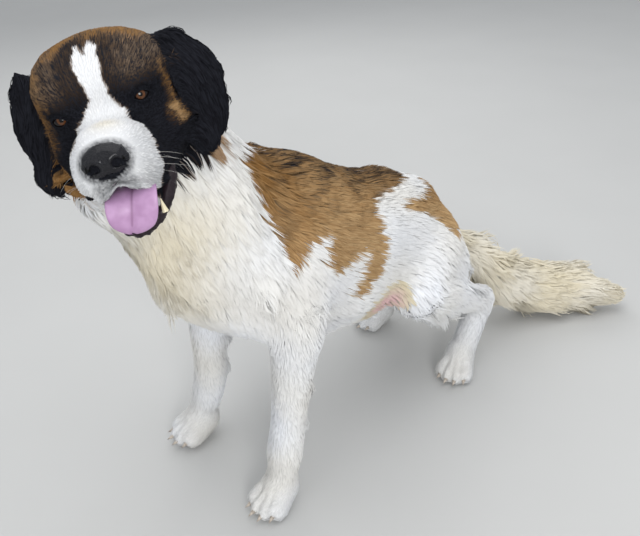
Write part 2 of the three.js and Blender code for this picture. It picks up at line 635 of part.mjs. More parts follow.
// Body pieces. Each core is cut back by the cores before it, and each coat by every other core and by
// the coats before it.
const headWhole = inBody(joined([headBlock, jaw(GAP), ear("left", GAP), ear("right", GAP)]));
const setAs = { left: (leg) => leg, right: setRight };
const lengths = { chest: [-FAR, CHEST_END], loin: [CHEST_END, LOIN_END], rump: [LOIN_END, FAR] };
const lengthOf = (name, grow) =>
  torsoCore(grow).intersect(between(lengths[name][0] - grow, lengths[name][1] + grow));
const blocks = {
  head: headWhole,
  neck: neckCore(GAP),
  chest: lengthOf("chest", GAP),
  loin: lengthOf("loin", GAP),
  rump: lengthOf("rump", GAP),
  foreleg_left: forelegCore("left", GAP),
  foreleg_right: forelegCore("right", GAP),
  thigh_left: thighCore(GAP),
  hind_leg_left: shinCore(GAP),
  thigh_right: setRight(thighCore(GAP)),
  hind_leg_right: setRight(shinCore(GAP)),
  hock_left: hockCore(GAP),
  hock_right: setRight(hockCore(GAP)),
  tail: tailCore(GAP),
};
const order = Object.keys(blocks);
const blocksBefore = (part) => order.slice(0, order.indexOf(part)).map((name) => blocks[name]);
const blocksBut = (part) => order.filter((name) => name !== part).map((name) => blocks[name]);
const coatsSoFar = [];

function dress(name, core, coat, material) {
  const locks = cutBy(coat(0), [...blocksBut(name), ...coatsSoFar, ground]);
  coatsSoFar.push(coat(GAP));
  place(dog, name, cutBy(core, blocksBefore(name)).add(locks), material);
}

dress("neck", neckCore(0), coatOf("neck", "neck", neckAxis, "neck", 11), white);
for (const [name, color] of Object.entries({ chest: white, loin: tan, rump: tan })) {
  dress(name, lengthOf(name, 0), coatOf(name, "torso", torsoAxis, "torso", 23), color);
}

for (const [side, leg] of Object.entries(forelegs)) {
  const name = `foreleg_${side}`;
  dress(name, forelegCore(side, 0), coatOf("foreleg", name, forelegAxis(leg), "foreleg", 31), white);
  place(dog, `forepaw_${side}`, cutBy(paw(leg.paw, leg.turn, 0), [blocks[name], ground]), white);
}

const thighCoat = coatOf("thigh", "thigh_left", thighAxis, "thigh", 43);
const shinCoat = coatOf("hind_leg", "hind_leg_left", shinAxis, "hind_leg", 47);
for (const [side, set] of Object.entries(setAs)) {
  const [thigh, shin] = [`thigh_${side}`, `hind_leg_${side}`];
  dress(thigh, set(thighCore(0)), (grow) => set(thighCoat(grow)), white);
  dress(shin, set(shinCore(0)), (grow) => set(shinCoat(grow)), white);
  place(dog, `hock_${side}`, cutBy(set(hockCore(0)), [blocks[shin], ground, ...coatsSoFar]), white);
  const foot = set(paw(HIND_PAW, HIND_PAW_TURN, 0));
  place(dog, `hindpaw_${side}`, cutBy(foot, [blocks[`hock_${side}`], blocks[shin], ground]), white);
}

const tailBare = cutBy(tailCore(0), [...blocksBefore("tail"), ...coatsSoFar, ground]);
const tailCoat = coatOf("tail", "tail", tailAxis, "tail", 61);
const tailWhole = largest(tailBare.add(cutBy(tailCoat(0), [...blocksBut("tail"), ...coatsSoFar, ground])));
place(dog, "tail_root", tailWhole.intersect(between(-FAR, TAIL_SPLIT)), cream);
place(dog, "tail", tailWhole.intersect(between(TAIL_SPLIT + GAP, FAR)), cream);

// The origin moves to the middle of the dog's bounding box, at floor level.
const bounds = new THREE.Box3().setFromObject(dog, true);
const middle = bounds.getCenter(new THREE.Vector3());
dog.position.set(-middle.x, -middle.y, -bounds.min.z);

const model = new THREE.Group();
model.add(dog);

export default model;
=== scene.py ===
# A saint bernard as a life-size still model: half squatting, forelegs straight, head turned to its left.
# The measures are in metres. The design frame has +X to the dog's left, -Y the way it faces, +Z up.
import math

import bpy
import numpy as np
from mathutils import Matrix, Vector
from mathutils.bvhtree import BVHTree
from mathutils.kdtree import KDTree


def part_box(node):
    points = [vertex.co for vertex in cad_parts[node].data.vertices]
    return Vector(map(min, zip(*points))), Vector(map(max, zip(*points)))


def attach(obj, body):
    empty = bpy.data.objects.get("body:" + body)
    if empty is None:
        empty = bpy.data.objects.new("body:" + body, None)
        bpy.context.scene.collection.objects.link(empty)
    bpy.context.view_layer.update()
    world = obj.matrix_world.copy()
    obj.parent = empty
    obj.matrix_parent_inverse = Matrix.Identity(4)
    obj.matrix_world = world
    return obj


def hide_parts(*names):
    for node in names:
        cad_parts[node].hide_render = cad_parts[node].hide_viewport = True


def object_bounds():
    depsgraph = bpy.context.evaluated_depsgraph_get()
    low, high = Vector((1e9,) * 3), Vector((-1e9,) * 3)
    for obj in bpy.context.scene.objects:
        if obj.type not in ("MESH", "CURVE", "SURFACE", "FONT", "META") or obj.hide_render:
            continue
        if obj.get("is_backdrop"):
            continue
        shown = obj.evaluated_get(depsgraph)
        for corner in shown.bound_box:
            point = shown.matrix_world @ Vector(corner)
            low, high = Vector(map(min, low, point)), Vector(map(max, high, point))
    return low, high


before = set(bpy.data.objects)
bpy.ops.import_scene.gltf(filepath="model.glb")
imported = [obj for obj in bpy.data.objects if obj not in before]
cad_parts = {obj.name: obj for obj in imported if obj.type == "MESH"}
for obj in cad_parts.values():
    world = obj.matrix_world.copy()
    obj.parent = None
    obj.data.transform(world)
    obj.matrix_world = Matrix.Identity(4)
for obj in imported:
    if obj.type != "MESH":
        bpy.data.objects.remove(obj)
cad_box = [list(corner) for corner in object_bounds()]


# The viewpoint is at the dog's front left, a little above its head, and looks down at it.
# The studio is a pale floor with three soft lights: overhead, in front and behind.
def middle(node):
    low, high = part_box(node)
    return (low + high) / 2


def turned(axis, degrees):
    return Matrix.Rotation(math.radians(degrees), 3, axis)


# The head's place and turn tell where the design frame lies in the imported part.
HEAD_AT = Vector((0.080, -0.258, 0.819))
HEAD_TURN, HEAD_NOD, HEAD_TILT = 51, 4, 13
EYE_SETBACK = Vector((0, -0.002, 0))
head_turn = turned("Z", HEAD_TURN) @ turned("X", -HEAD_NOD) @ turned("Y", -HEAD_TILT)
between_eyes = (middle("eye_left") + middle("eye_right")) / 2
ORIGIN = between_eyes - head_turn @ EYE_SETBACK - HEAD_AT
ORIGIN.z = 0

CAMERA_AT = Vector((0.907, -0.757, 1.122))
CAMERA_HEADING, CAMERA_PITCH, CAMERA_ROLL = 43.87, 30.3, -3.3
LENS, FILM_WIDTH = 45, 36
bpy.ops.object.camera_add(location=ORIGIN + CAMERA_AT)
camera = bpy.context.object
aim = turned("Z", CAMERA_HEADING) @ turned("X", 90 - CAMERA_PITCH) @ turned("Z", CAMERA_ROLL)
camera.rotation_euler = aim.to_euler()
camera.data.lens = LENS
camera.data.sensor_width = FILM_WIDTH
bpy.context.scene.camera = camera

LIGHTS = {
    "overhead": ((0.2, -0.1, 3.2), 3.0, 50),
    "front": ((2.5, -1.7, 1.5), 1.0, 50),
    "back": ((-2.0, 1.8, 2.2), 2.2, 26),
}
DOG_MIDDLE = Vector((0, 0.1, 0.4))
for name, (place, size, watts) in LIGHTS.items():
    bpy.ops.object.light_add(type="AREA", location=ORIGIN + Vector(place))
    light = bpy.context.object
    light.name = name
    light.data.size = size
    light.data.energy = watts
    toward = ORIGIN + DOG_MIDDLE - light.location
    light.rotation_euler = toward.to_track_quat("-Z", "Y").to_euler()
world = bpy.data.worlds.new("studio")
bpy.context.scene.world = world
world.use_nodes = True
background = world.node_tree.nodes["Background"].inputs
background["Color"].default_value = (0.93, 0.96, 1, 1)
background["Strength"].default_value = 0.66
bpy.context.scene.view_settings.view_transform = "Standard"

bpy.ops.mesh.primitive_plane_add(size=14, location=ORIGIN)
floor = bpy.context.object
floor.name = "floor"
floor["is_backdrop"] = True


# Materials, first the pale floor's. A Wire is a socket of a node, and sums, differences and products
# of wires and numbers add Math nodes.
class Wire:
    def __init__(self, finish, socket):
        self.finish, self.socket = finish, socket

    def math(self, operation, *values):
        return self.finish.add("Math", {"operation": operation}, {i: v for i, v in enumerate(values)})

    def __add__(self, other):
        return self.math("ADD", self, other)

    def __sub__(self, other):
        return self.math("SUBTRACT", self, other)

    def __rsub__(self, other):
        return self.math("SUBTRACT", other, self)

    def __mul__(self, other):
        return self.math("MULTIPLY", self, other)

    __radd__, __rmul__ = __add__, __mul__

    def within(self, low, high):
        """0 below low, 1 above high and a smooth step between."""
        settings = {"interpolation_type": "SMOOTHSTEP"}
        return self.finish.add("MapRange", settings, {"Value": self, "From Min": low, "From Max": high})


class Finish:
    """A material with one Principled shader."""

    def __init__(self, name, **sockets):
        self.material = bpy.data.materials.new(name)
        self.material.use_nodes = True
        self.tree = self.material.node_tree
        self.shader = self.tree.nodes["Principled BSDF"]
        for socket, value in sockets.items():
            self.shader.inputs[socket.replace("_", " ")].default_value = value

    def add(self, kind, settings=None, values=None, out=0):
        node = self.tree.nodes.new("ShaderNode" + kind)
        for key, value in (settings or {}).items():
            setattr(node, key, value)
        for key, value in (values or {}).items():
            self.feed(node.inputs[key], value)
        return Wire(self, node.outputs[out])

    def feed(self, socket, value):
        if isinstance(value, Wire):
            self.tree.links.new(value.socket, socket)
        elif socket.type == "RGBA" and len(value) == 3:
            socket.default_value = (*value, 1)
        else:
            socket.default_value = value

    def set(self, name, value):
        self.feed(self.shader.inputs[name], value)

    def blend(self, share, first, second):
        settings = {"data_type": "RGBA"}
        return self.add("Mix", settings, {"Factor": share, 6: first, 7: second}, out=2)

    def noise(self, scale, detail=2, rough=0.5):
        place = self.add("TexCoord", out=3)
        values = {"Vector": place, "Scale": scale, "Detail": detail, "Roughness": rough}
        return self.add("TexNoise", None, values)

    def mottle(self, scale, first, second):
        """Two colours in soft blotches."""
        return self.blend(self.noise(scale), first, second)

    def attribute(self, name, out=0):
        return self.add("Attribute", {"attribute_name": name}, out=out)

    def parts_of(self, name):
        """The three numbers that a piece keeps under a name."""
        split = self.add("SeparateXYZ", None, {0: self.attribute(name, 1)}).socket.node
        return [Wire(self, output) for output in split.outputs]

    def bump(self, height, distance, strength=1.0):
        values = {"Height": height, "Distance": distance, "Strength": strength}
        self.set("Normal", self.add("Bump", None, values))


paper = Finish("pale_floor", Roughness=0.9)
paper.set("Base Color", paper.mottle(3, (0.50, 0.50, 0.49), (0.53, 0.53, 0.52)))
floor.data.materials.append(paper.material)


# The skin, one closed shell over the whole dog, which lies under the coat by the coat's own depth.
# It is cast from the solids and fused: the trunk coarsely, the legs and paws finer, the head finest.
def numbers_in(items, key, width, kind=float):
    """A row of numbers for each item in one of a mesh's lists."""
    flat = np.empty(len(items) * width, kind)
    items.foreach_get(key, flat)
    return flat.reshape(-1, width)


def vertices_of(piece):
    return numbers_in(piece.data.vertices, "co", 3)


def set_vertices(piece, points):
    piece.data.vertices.foreach_set("co", np.ascontiguousarray(points, float).ravel())
    piece.data.update()


def normals_of(piece):
    return numbers_in(piece.data.vertex_normals, "vector", 3)


def unit(vectors):
    return vectors / np.maximum(np.linalg.norm(vectors, axis=-1, keepdims=True), 1e-9)


def dot(a, b):
    return (a * b).sum(-1)


def step(value, low, high):
    """0 at low, 1 at high and a smooth step between. low may be the greater."""
    share = np.clip((value - low) / (high - low), 0, 1)
    return share * share * (3 - 2 * share)


def hump(value, width):
    """1 where the value is 0, fading to both sides."""
    return np.exp(-((value / width) ** 2))


def distance(points, place, size=1):
    """How far points are from a place, counted in sizes."""
    return np.linalg.norm((points - place) / size, axis=-1)


def tree_of(points):
    """A search tree that finds the number of the nearest point."""
    tree = KDTree(len(points))
    for number, point in enumerate(points):
        tree.insert(point, number)
    tree.balance()
    return tree


class Web:
    """Spreads values over a mesh, from each vertex to those that share an edge with it."""

    def __init__(self, piece):
        ends = numbers_in(piece.data.edges, "vertices", 2, int)
        self.here = np.concatenate((ends[:, 0], ends[:, 1]))
        self.there = np.concatenate((ends[:, 1], ends[:, 0]))
        self.count = np.bincount(self.here, minlength=len(piece.data.vertices))[:, None]

    def spread(self, values, rounds, share=0.5):
        for _ in range(rounds):
            sums = [np.bincount(self.here, column[self.there], len(self.count)) for column in values.T]
            values = values + share * (np.stack(sums, 1) / self.count - values)
        return values

    def smooth(self, points, rounds, share=0.5):
        """Spreads and then swells back, so that the form keeps its size."""
        for _ in range(rounds):
            points = self.spread(self.spread(points, 1, share), 1, -share * 1.04)
        return points


def select_only(*pieces):
    bpy.ops.object.select_all(action="DESELECT")
    for piece in pieces:
        piece.select_set(True)
    bpy.context.view_layer.objects.active = pieces[0]


def smooth_shade(piece):
    select_only(piece)
    bpy.ops.object.shade_smooth()


def apply_modifier(piece, kind, **settings):
    select_only(piece)
    modifier = piece.modifiers.new(kind.lower(), kind)
    for key, value in settings.items():
        setattr(modifier, key, value)
    bpy.ops.object.modifier_apply(modifier=modifier.name)


def shell_of(name, nodes, voxel):
    """One closed skin round copies of some of the solids."""
    copies = []
    for node in nodes:
        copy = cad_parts[node].copy()
        copy.data = copy.data.copy()
        copy.parent = None
        bpy.context.collection.objects.link(copy)
        copies.append(copy)
    select_only(*copies)
    bpy.ops.object.join()
    shell = bpy.context.object
    shell.name = name
    for key in list(shell.keys()):
        del shell[key]
    shell.data.materials.clear()
    bpy.ops.object.mode_set(mode="EDIT")
    bpy.ops.mesh.select_all(action="SELECT")
    bpy.ops.mesh.remove_doubles(threshold=1e-5)
    bpy.ops.object.mode_set(mode="OBJECT")
    apply_modifier(shell, "REMESH", mode="VOXEL", voxel_size=voxel)
    return shell


# What the coat is like on each part: how deep the skin lies under the solid, how far it is smoothed,
# then the tufts' length, height over the skin, width, wave, share of hanging, and number per square cm.
THIGHS = ("thigh_left", "thigh_right")
SHINS = ("hind_leg_left", "hind_leg_right")
HOCKS = ("hock_left", "hock_right")
FORELEGS = ("foreleg_left", "foreleg_right")
PAW_PARTS = ("forepaw_left", "forepaw_right", "hindpaw_left", "hindpaw_right")
TAIL = ("tail_root", "tail")
FACE = ("head", "lower_jaw")
EARS = ("ear_left", "ear_right")
COATS = {
    ("neck",): (0.012, 1, 0.072, 0.015, 0.0026, 0.0026, 0.12, 8.6),
    ("chest", "loin", "rump"): (0.011, 1, 0.052, 0.011, 0.0027, 0.0016, 0.08, 7.4),
    THIGHS: (0.011, 1, 0.056, 0.013, 0.0028, 0.0020, 0.15, 7.5),
    SHINS: (0.005, 0, 0.036, 0.007, 0.0027, 0.0012, 0.15, 5.4),
    HOCKS: (0.003, 0, 0.017, 0.003, 0.0020, 0.0003, 0, 7.0),
    FORELEGS: (0.0035, 0, 0.020, 0.0035, 0.0021, 0.0004, 0, 6.2),
    PAW_PARTS: (0.002, 0, 0.009, 0.0020, 0.0016, 0.0001, 0, 8.0),
    TAIL: (0.014, 1, 0.084, 0.027, 0.0035, 0.0036, 0.10, 7.8),
    FACE: (0.0020, 0, 0.0085, 0.0016, 0.0014, 0.0001, 0, 15.4),
    EARS: (0.0010, 0, 0.022, 0.0030, 0.0018, 0.0010, 0.2, 13.0),
}
NAMES = [name for names in COATS for name in names]
TRAITS = np.array([coat for names, coat in COATS.items() for _ in names])
DEPTH, SMOOTH, LENGTH, LOFT, GIRTH, WAVE, HANG, PER_CM2 = range(8)

cad_points = [vertices_of(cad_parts[name]) for name in NAMES]
cad_part = np.repeat(np.arange(len(NAMES)), [len(points) for points in cad_points])
cad_tree = tree_of(np.concatenate(cad_points))


def part_at(points):
    """The number of the part that is nearest to each point."""
    return cad_part[[cad_tree.find(point)[1] for point in points]]


HEAD_PARTS = FACE + EARS
LEG_PARTS = FORELEGS + SHINS + HOCKS
TRUNK_PARTS = [name for name in NAMES if name not in HEAD_PARTS + PAW_PARTS]


def on_parts(parts, *names):
    return np.isin(parts, [NAMES.index(name) for name in names])


def shoulder(points, parts):
    """From 0 on a foreleg to 1 at its top, where it goes over into the chest."""
    return step(points[:, 2], 0.34, 0.42) * on_parts(parts, *FORELEGS)


TRUNK_VOXEL, LEG_VOXEL, HEAD_VOXEL = 0.0076, 0.0046, 0.0029
LEG_ROOT_DEPTH, LEG_ROOT_SMOOTH = 0.011, 0.4
trunk = shell_of("trunk", TRUNK_PARTS, TRUNK_VOXEL)
web = Web(trunk)
points = vertices_of(trunk)
parts = part_at(points)
on_legs = on_parts(parts, *LEG_PARTS)
depths = np.where(on_legs, LEG_ROOT_DEPTH, TRAITS[parts, DEPTH])
softness = np.where(on_legs, LEG_ROOT_SMOOTH, TRAITS[parts, SMOOTH])
softness = web.spread(np.stack((softness, depths), 1), 12)
for _ in range(26):
    points += softness[:, :1] * (web.spread(points, 1) - points)
set_vertices(trunk, points)
points -= softness[:, 1:] * normals_of(trunk)
set_vertices(trunk, web.smooth(points, 3))


def furrow(points, normals, places, line, width, depth):
    """Presses a furrow into a surface along a line. places holds the points in the line's own frame."""
    line = np.array(line)
    away = np.full(len(points), np.inf)
    for start, end in zip(line[:-1], line[1:]):
        share = np.clip(dot(places - start, end - start) / dot(end - start, end - start), 0, 1)
        nearest = start + share[:, None] * (end - start)
        away = np.minimum(away, distance(places, nearest))
    return points - normals * (depth * hump(away, width))[:, None]


# The legs and paws, cast finer than the trunk, with furrows between the toes. Each paw has its place
# and its turn, in degrees.
RIGHT_LEG_SET_BACK = 0.044
PAWS = {
    "forepaw_left": (0.096, -0.062, 0.034, 2),
    "forepaw_right": (-0.164, -0.032, 0.034, -12),
    "hindpaw_left": (0.134, 0.470, 0.032, 16),
    "hindpaw_right": (-0.134, 0.470 + RIGHT_LEG_SET_BACK, 0.032, -16),
}
TOE_GAP = 0.0193
legs = shell_of("legs", LEG_PARTS + PAW_PARTS, LEG_VOXEL)
web = Web(legs)
points = vertices_of(legs)
parts = part_at(points)
smoothed = web.smooth(points, 14)
in_paw = web.spread(on_parts(parts, *PAW_PARTS).astype(float)[:, None], 6)
points = smoothed + in_paw * 0.75 * (web.smooth(points, 2) - smoothed)
set_vertices(legs, points)
depths = web.spread(TRAITS[parts][:, [DEPTH]], 8)
depths[:, 0] += 0.010 * shoulder(points, parts)
points -= depths * normals_of(legs)
for x, y, z, turn in PAWS.values():
    places = (points - np.array(ORIGIN) - (x, y, z)) @ np.array(turned("Z", turn))
    for gap in (-TOE_GAP, 0, TOE_GAP):
        line = [(0.55 * gap, -0.012, 0.022), (0.9 * gap, -0.040, 0.004), (1.15 * gap, -0.062, -0.022)]
        points = furrow(points, normals_of(legs), places, line, 0.0045, 0.0040)
set_vertices(legs, points)

# The head, cast finest together with the eyeballs, which its lids close round. Its brows, stop, flews
# and lips are raised and pressed in after casting.
head = shell_of("head_skin", HEAD_PARTS + ("eye_left", "eye_right"), HEAD_VOXEL)
set_vertices(head, Web(head).smooth(vertices_of(head), 12))
head_place = np.array(ORIGIN + HEAD_AT)
head_axes = np.array(head_turn)


def to_head(points):
    return (points - head_place) @ head_axes


def from_head(points):
    return points @ head_axes.T + head_place


# Places in the head's own frame: x to its left, y backward and z up from midway between the eyes.
# A swell has a place, a radius and a height, and a furrow has a line, a width and a depth.
SWELLS = [
    ((0.040, 0.004, 0.026), 0.030, 0.003),
    ((-0.040, 0.004, 0.026), 0.030, 0.003),
    ((0, 0.060, 0.080), 0.080, 0.006),
    ((0.006, -0.024, 0.002), 0.028, -0.004),
    ((0.034, -0.078, -0.074), 0.030, 0.003),
    ((-0.034, -0.078, -0.074), 0.030, 0.003),
    ((-0.045, -0.070, -0.095), 0.030, -0.007),
    ((0.036, -0.034, -0.026), 0.022, -0.003),
    ((-0.036, -0.034, -0.026), 0.022, -0.003),
]
# The loose skin of the cheeks and throat, on the neck below the head.
RUFFS = [
    ((0.062, 0.060, -0.112), 0.050, 0.010),
    ((-0.062, 0.075, -0.105), 0.070, 0.020),
    ((-0.072, 0.085, -0.155), 0.085, 0.024),
    ((-0.055, 0.080, -0.135), 0.080, 0.032),
]
FURROWS = [
    ([(0.006, -0.012, 0.014), (0.006, 0.012, 0.048), (0.006, 0.034, 0.068)], 0.008, 0.0020),
    ([(0, -0.122, -0.058), (0, -0.118, -0.086)], 0.003, 0.003),
]
points, normals = vertices_of(head), normals_of(head)
for at, radius, amount in SWELLS:
    away = distance(to_head(points), at) / radius
    points += normals * (amount * step(1 - away, 0, 1))[:, None]
for line, width, depth in FURROWS:
    points = furrow(points, normals, to_head(points), line, width, depth)
parts = part_at(points)
places = to_head(points)
on_skull = on_parts(parts, "head")
flews = step(-places[:, 2], 0.055, 0.090) * step(-places[:, 1], 0.0, 0.050) * on_skull
places[:, 2] += flews * np.where(places[:, 0] < 0.03, 0.010, 0.006)
places[:, 2] += 0.008 * flews * hump(places[:, 0] - 0.003, 0.011)
x, y, z = places.T
places[:, 0] *= 1 - 0.09 * on_skull * step(-x, 0.03, 0.09)
places[:, 0] += 0.006 * on_skull * step(-x, 0.015, 0.045) * step(-y, 0.03, 0.07)
points = from_head(places)

# The ears end broad and round, so their lower halves are widened about their middle lines. Each has
# its side, the share of that side in its width's direction, and how far inward and how much wider.
EAR_MIDDLE = np.array([(0.088, 0.068, 0.044), (0.114, 0.068, 0.016), (0.120, 0.064, -0.028),
                       (0.108, 0.057, -0.068), (0.096, 0.050, -0.098)])
EAR_FORMS = {"ear_left": (1, 0.6, 0.0, 1.2), "ear_right": (-1, 0.82, 0.022, 0.6)}
for name, (side, flare, inward, more) in EAR_FORMS.items():
    here = on_parts(parts, name)
    places = to_head(points[here])
    level = np.clip(places[:, 2], EAR_MIDDLE[-1, 2], EAR_MIDDLE[0, 2])
    middle_x = np.interp(-level, -EAR_MIDDLE[:, 2], EAR_MIDDLE[:, 0]) - inward
    middle_y = np.interp(-level, -EAR_MIDDLE[:, 2], EAR_MIDDLE[:, 1])
    across = np.array((side * flare, math.sqrt(1 - flare**2), 0))
    reach = dot(places - np.stack((side * middle_x, middle_y, level), 1), across)
    wider = more * step(-places[:, 2], 0.035, 0.085)
    places = places + (reach * wider)[:, None] * across
    z = places[:, 2].copy()
    if side > 0:
        top = step(places[:, 0], 0.105, 0.145) * step(z, -0.030, 0.010)
        places[:, 2] -= 0.015 * top + 0.010 * step(-z, 0.045, 0.095)
        inner = step(0.128 - places[:, 0], 0, 0.025) * step(z, 0.045, 0.025) * step(-z, 0.085, 0.060)
        places[:, 0] -= 0.015 * inner
        places[:, 1] -= 0.006 * inner
    else:
        places[:, 0] -= 0.026 * step(-z, 0.045, 0.090) - 0.005 * step(z, -0.040, 0.010)
        places[:, 2] += 0.010 * step(z, 0.0, 0.045) * step(-places[:, 0], 0.080, 0.100)
        places[:, 2] -= 0.006 * step(-z, 0.030, 0.095)
    points[here] = from_head(places)
set_vertices(head, points)

# The lids: a rim of skin round each eyeball, open as an almond that faces a little outward. The skin
# there is divided finer, laid over the ball and sunk under it within the opening.
EYE_X = 0.048
EYE_RADIUS = 0.0128
LID = 0.0022
ALMOND_HALF_WIDTH, ALMOND_UP, ALMOND_DOWN = 0.0108, 0.0060, 0.0054
GAZE_OUT, GAZE_DOWN = 22, 4
LID_REACH = 0.021


def eye_axes(side):
    """Outward across, up, and forward out of the eye, as the columns of a matrix."""
    gaze = turned("Z", side * GAZE_OUT) @ turned("X", GAZE_DOWN)
    across = head_turn @ gaze @ Vector((side, 0, 0))
    up = head_turn @ gaze @ Vector((0, 0, 1))
    forward = head_turn @ gaze @ Vector((0, -1, 0))
    return np.array((across, up, forward)).T


def almond_gap(u, v):
    """How far a place is outside the opening, below 0 within it."""
    tall = np.where(v > 0, ALMOND_UP, ALMOND_DOWN)
    shape = tall * (1 - (u / ALMOND_HALF_WIDTH) ** 2)
    beyond = np.maximum(np.abs(u) - ALMOND_HALF_WIDTH, 0)
    over = np.abs(v) - np.maximum(shape, 0)
    return np.where(beyond > 0, np.hypot(beyond, np.maximum(over, 0)), over)


for side, eye in ((1, "eye_left"), (-1, "eye_right")):
    centre, axes = np.array(middle(eye)), eye_axes(side)
    near = distance(vertices_of(head), centre) < LID_REACH
    select_only(head)
    head.data.polygons.foreach_set("select", [False] * len(head.data.polygons))
    head.data.edges.foreach_set("select", [False] * len(head.data.edges))
    head.data.vertices.foreach_set("select", near)
    bpy.ops.object.mode_set(mode="EDIT")
    bpy.ops.mesh.select_mode(type="VERT")
    bpy.ops.mesh.subdivide(number_cuts=2)
    bpy.ops.object.mode_set(mode="OBJECT")
    local = (vertices_of(head) - centre) @ axes
    u, v, w = local.T
    gap = almond_gap(u, v)
    flat = np.hypot(u, v)
    front = (w > -0.002) & (flat < 0.03)
    ball = np.sqrt(np.maximum(EYE_RADIUS**2 - flat**2, 0))
    lid = np.sqrt(np.maximum((EYE_RADIUS + LID) ** 2 - flat**2, 0))
    near_lid = step(gap, 0.011, 0.001) * step(flat, EYE_RADIUS + 0.006, EYE_RADIUS - 0.001)
    shaped = w + near_lid * (lid - w)
    rim = 0.0009 * hump(gap - 0.0012, 0.0011)
    fold = 0.0012 * hump(gap - 0.0062, 0.0014) * (v > 0)
    shaped = shaped + rim - fold
    sunk = np.minimum(shaped, ball - 0.0035)
    open_share = step(gap, 0.0001, -0.0010)
    local[:, 2] = np.where(front, shaped + open_share * (sunk - shaped), w)
    set_vertices(head, local @ axes.T + centre)

# The three castings become one skin, which is swelled at the cheeks and smoothed where they meet.
for casting in (head, legs):
    apply_modifier(trunk, "BOOLEAN", operation="UNION", solver="MANIFOLD", object=casting)
for casting in (head, legs):
    bpy.data.objects.remove(casting)
skin = trunk
skin.name = "skin"
skin_points = vertices_of(skin)
web = Web(skin)
skin_parts = part_at(skin_points)
off_ears = ~on_parts(skin_parts, *EARS)
off_ears = web.spread(off_ears.astype(float)[:, None], 4)[:, 0]
for at, radius, amount in RUFFS:
    away = distance(to_head(skin_points), at) / radius
    skin_points += normals_of(skin) * (off_ears * amount * step(1 - away, 0, 1))[:, None]
set_vertices(skin, skin_points)
loose = ~on_parts(skin_parts, *HEAD_PARTS, *PAW_PARTS)[:, None]
for _ in range(5):
    skin_points += loose * 0.5 * (web.spread(skin_points, 1, 1) - skin_points)
WITHERS = np.array(ORIGIN) + (-0.020, 0.070, 0.645)
SKIN_FLOOR = 0.0004
at_withers = hump(distance(skin_points, WITHERS), 0.060)
joints = step(web.spread(shoulder(skin_points, skin_parts)[:, None], 24), 0.02, 0.25)
joints = np.maximum(joints, at_withers[:, None])
for _ in range(70):
    skin_points += joints * (web.spread(skin_points, 1) - skin_points)
skin_points[:, 2] = np.maximum(skin_points[:, 2], SKIN_FLOOR)
set_vertices(skin, skin_points)
smooth_shade(skin)

# The lie of the coat and its traits at each place of the skin, spread so that each part flows on
# into the next. It runs backward and down, out from the nose on the face, and along the tail.
skin_normals = normals_of(skin)
design = skin_points - np.array(ORIGIN)
local = to_head(skin_points)
TAIL_LINE = np.array([(0.030, 0.540, 0.296), (0.056, 0.620, 0.216), (0.084, 0.694, 0.124),
                      (0.130, 0.784, 0.070), (0.208, 0.868, 0.058), (0.288, 0.930, 0.042)])
NOSE_TIP = np.array((0, -0.118, -0.032))


def is_part(*names):
    return on_parts(skin_parts, *names)


def raw_lie():
    """The way the coat lies on each part, before it is spread and laid on the skin."""
    x, y, _ = design.T
    side, one = np.sign(x), np.ones(len(x))

    def flow(across, back, up):
        return np.stack((across * one, back * one, up * one), 1)

    lie = flow(0, 1, -0.55)
    front = step(y, 0.13, -0.06)[:, None]
    back_over = 1.4 * step(skin_normals[:, 2], 0.2, 0.8)
    lie = lie * (1 - front) + flow(0.15 * side, 0.25 + back_over, -1) * front
    under = step(skin_normals[:, 2], -0.3, -0.8)[:, None]
    lie = lie * (1 - under) + flow(0.2 * side, 1, -0.3) * under
    flows = {
        ("neck",): flow(0.2 * side, 0.35 + back_over, -1),
        ("rump",): flow(0.15 * side, 1, -0.8),
        THIGHS: flow(0, 0.62, -1),
        SHINS: flow(0, 0.84, -0.7),
        HOCKS: flow(0, -0.6, -0.8),
        FORELEGS: flow(0, 0.15 + 0.9 * step(skin_normals[:, 1], 0.3, 0.8), -1),
        PAW_PARTS: flow(0, -1, -0.35),
    }
    out = unit(local - NOSE_TIP)
    out[:, 2] -= 1.3 * step(local[:, 1], 0.06, 0.13)
    flows[FACE] = out @ head_axes.T
    flows[EARS] = flow(0.1 * np.sign(local[:, 0]), 0.1, -1) @ head_axes.T
    for names, heading in flows.items():
        lie[is_part(*names)] = heading[is_part(*names)]
    starts, ends = TAIL_LINE[:-1], TAIL_LINE[1:]
    tail = is_part(*TAIL)
    away = distance(design[tail][:, None], (starts + ends) / 2)
    lie[tail] = unit(ends - starts)[away.argmin(1)]
    return lie


web = Web(skin)
lie = unit(raw_lie())
for _ in range(24):
    lie = web.spread(lie, 1)
    lie = unit(lie - dot(lie, skin_normals)[:, None] * skin_normals)

# Traits that change over a part: fine round the eyes and nose, long at the ears' ends and behind the
# legs, where it hangs as a curtain from the thighs, and short on the belly, the cheeks and the groin.
traits = TRAITS[skin_parts].copy()


def add_to(where, amounts):
    for trait, amount in amounts.items():
        traits[:, trait] += amount * where


def take_from(where, shares):
    for trait, share in shares.items():
        traits[:, trait] *= 1 - share * where


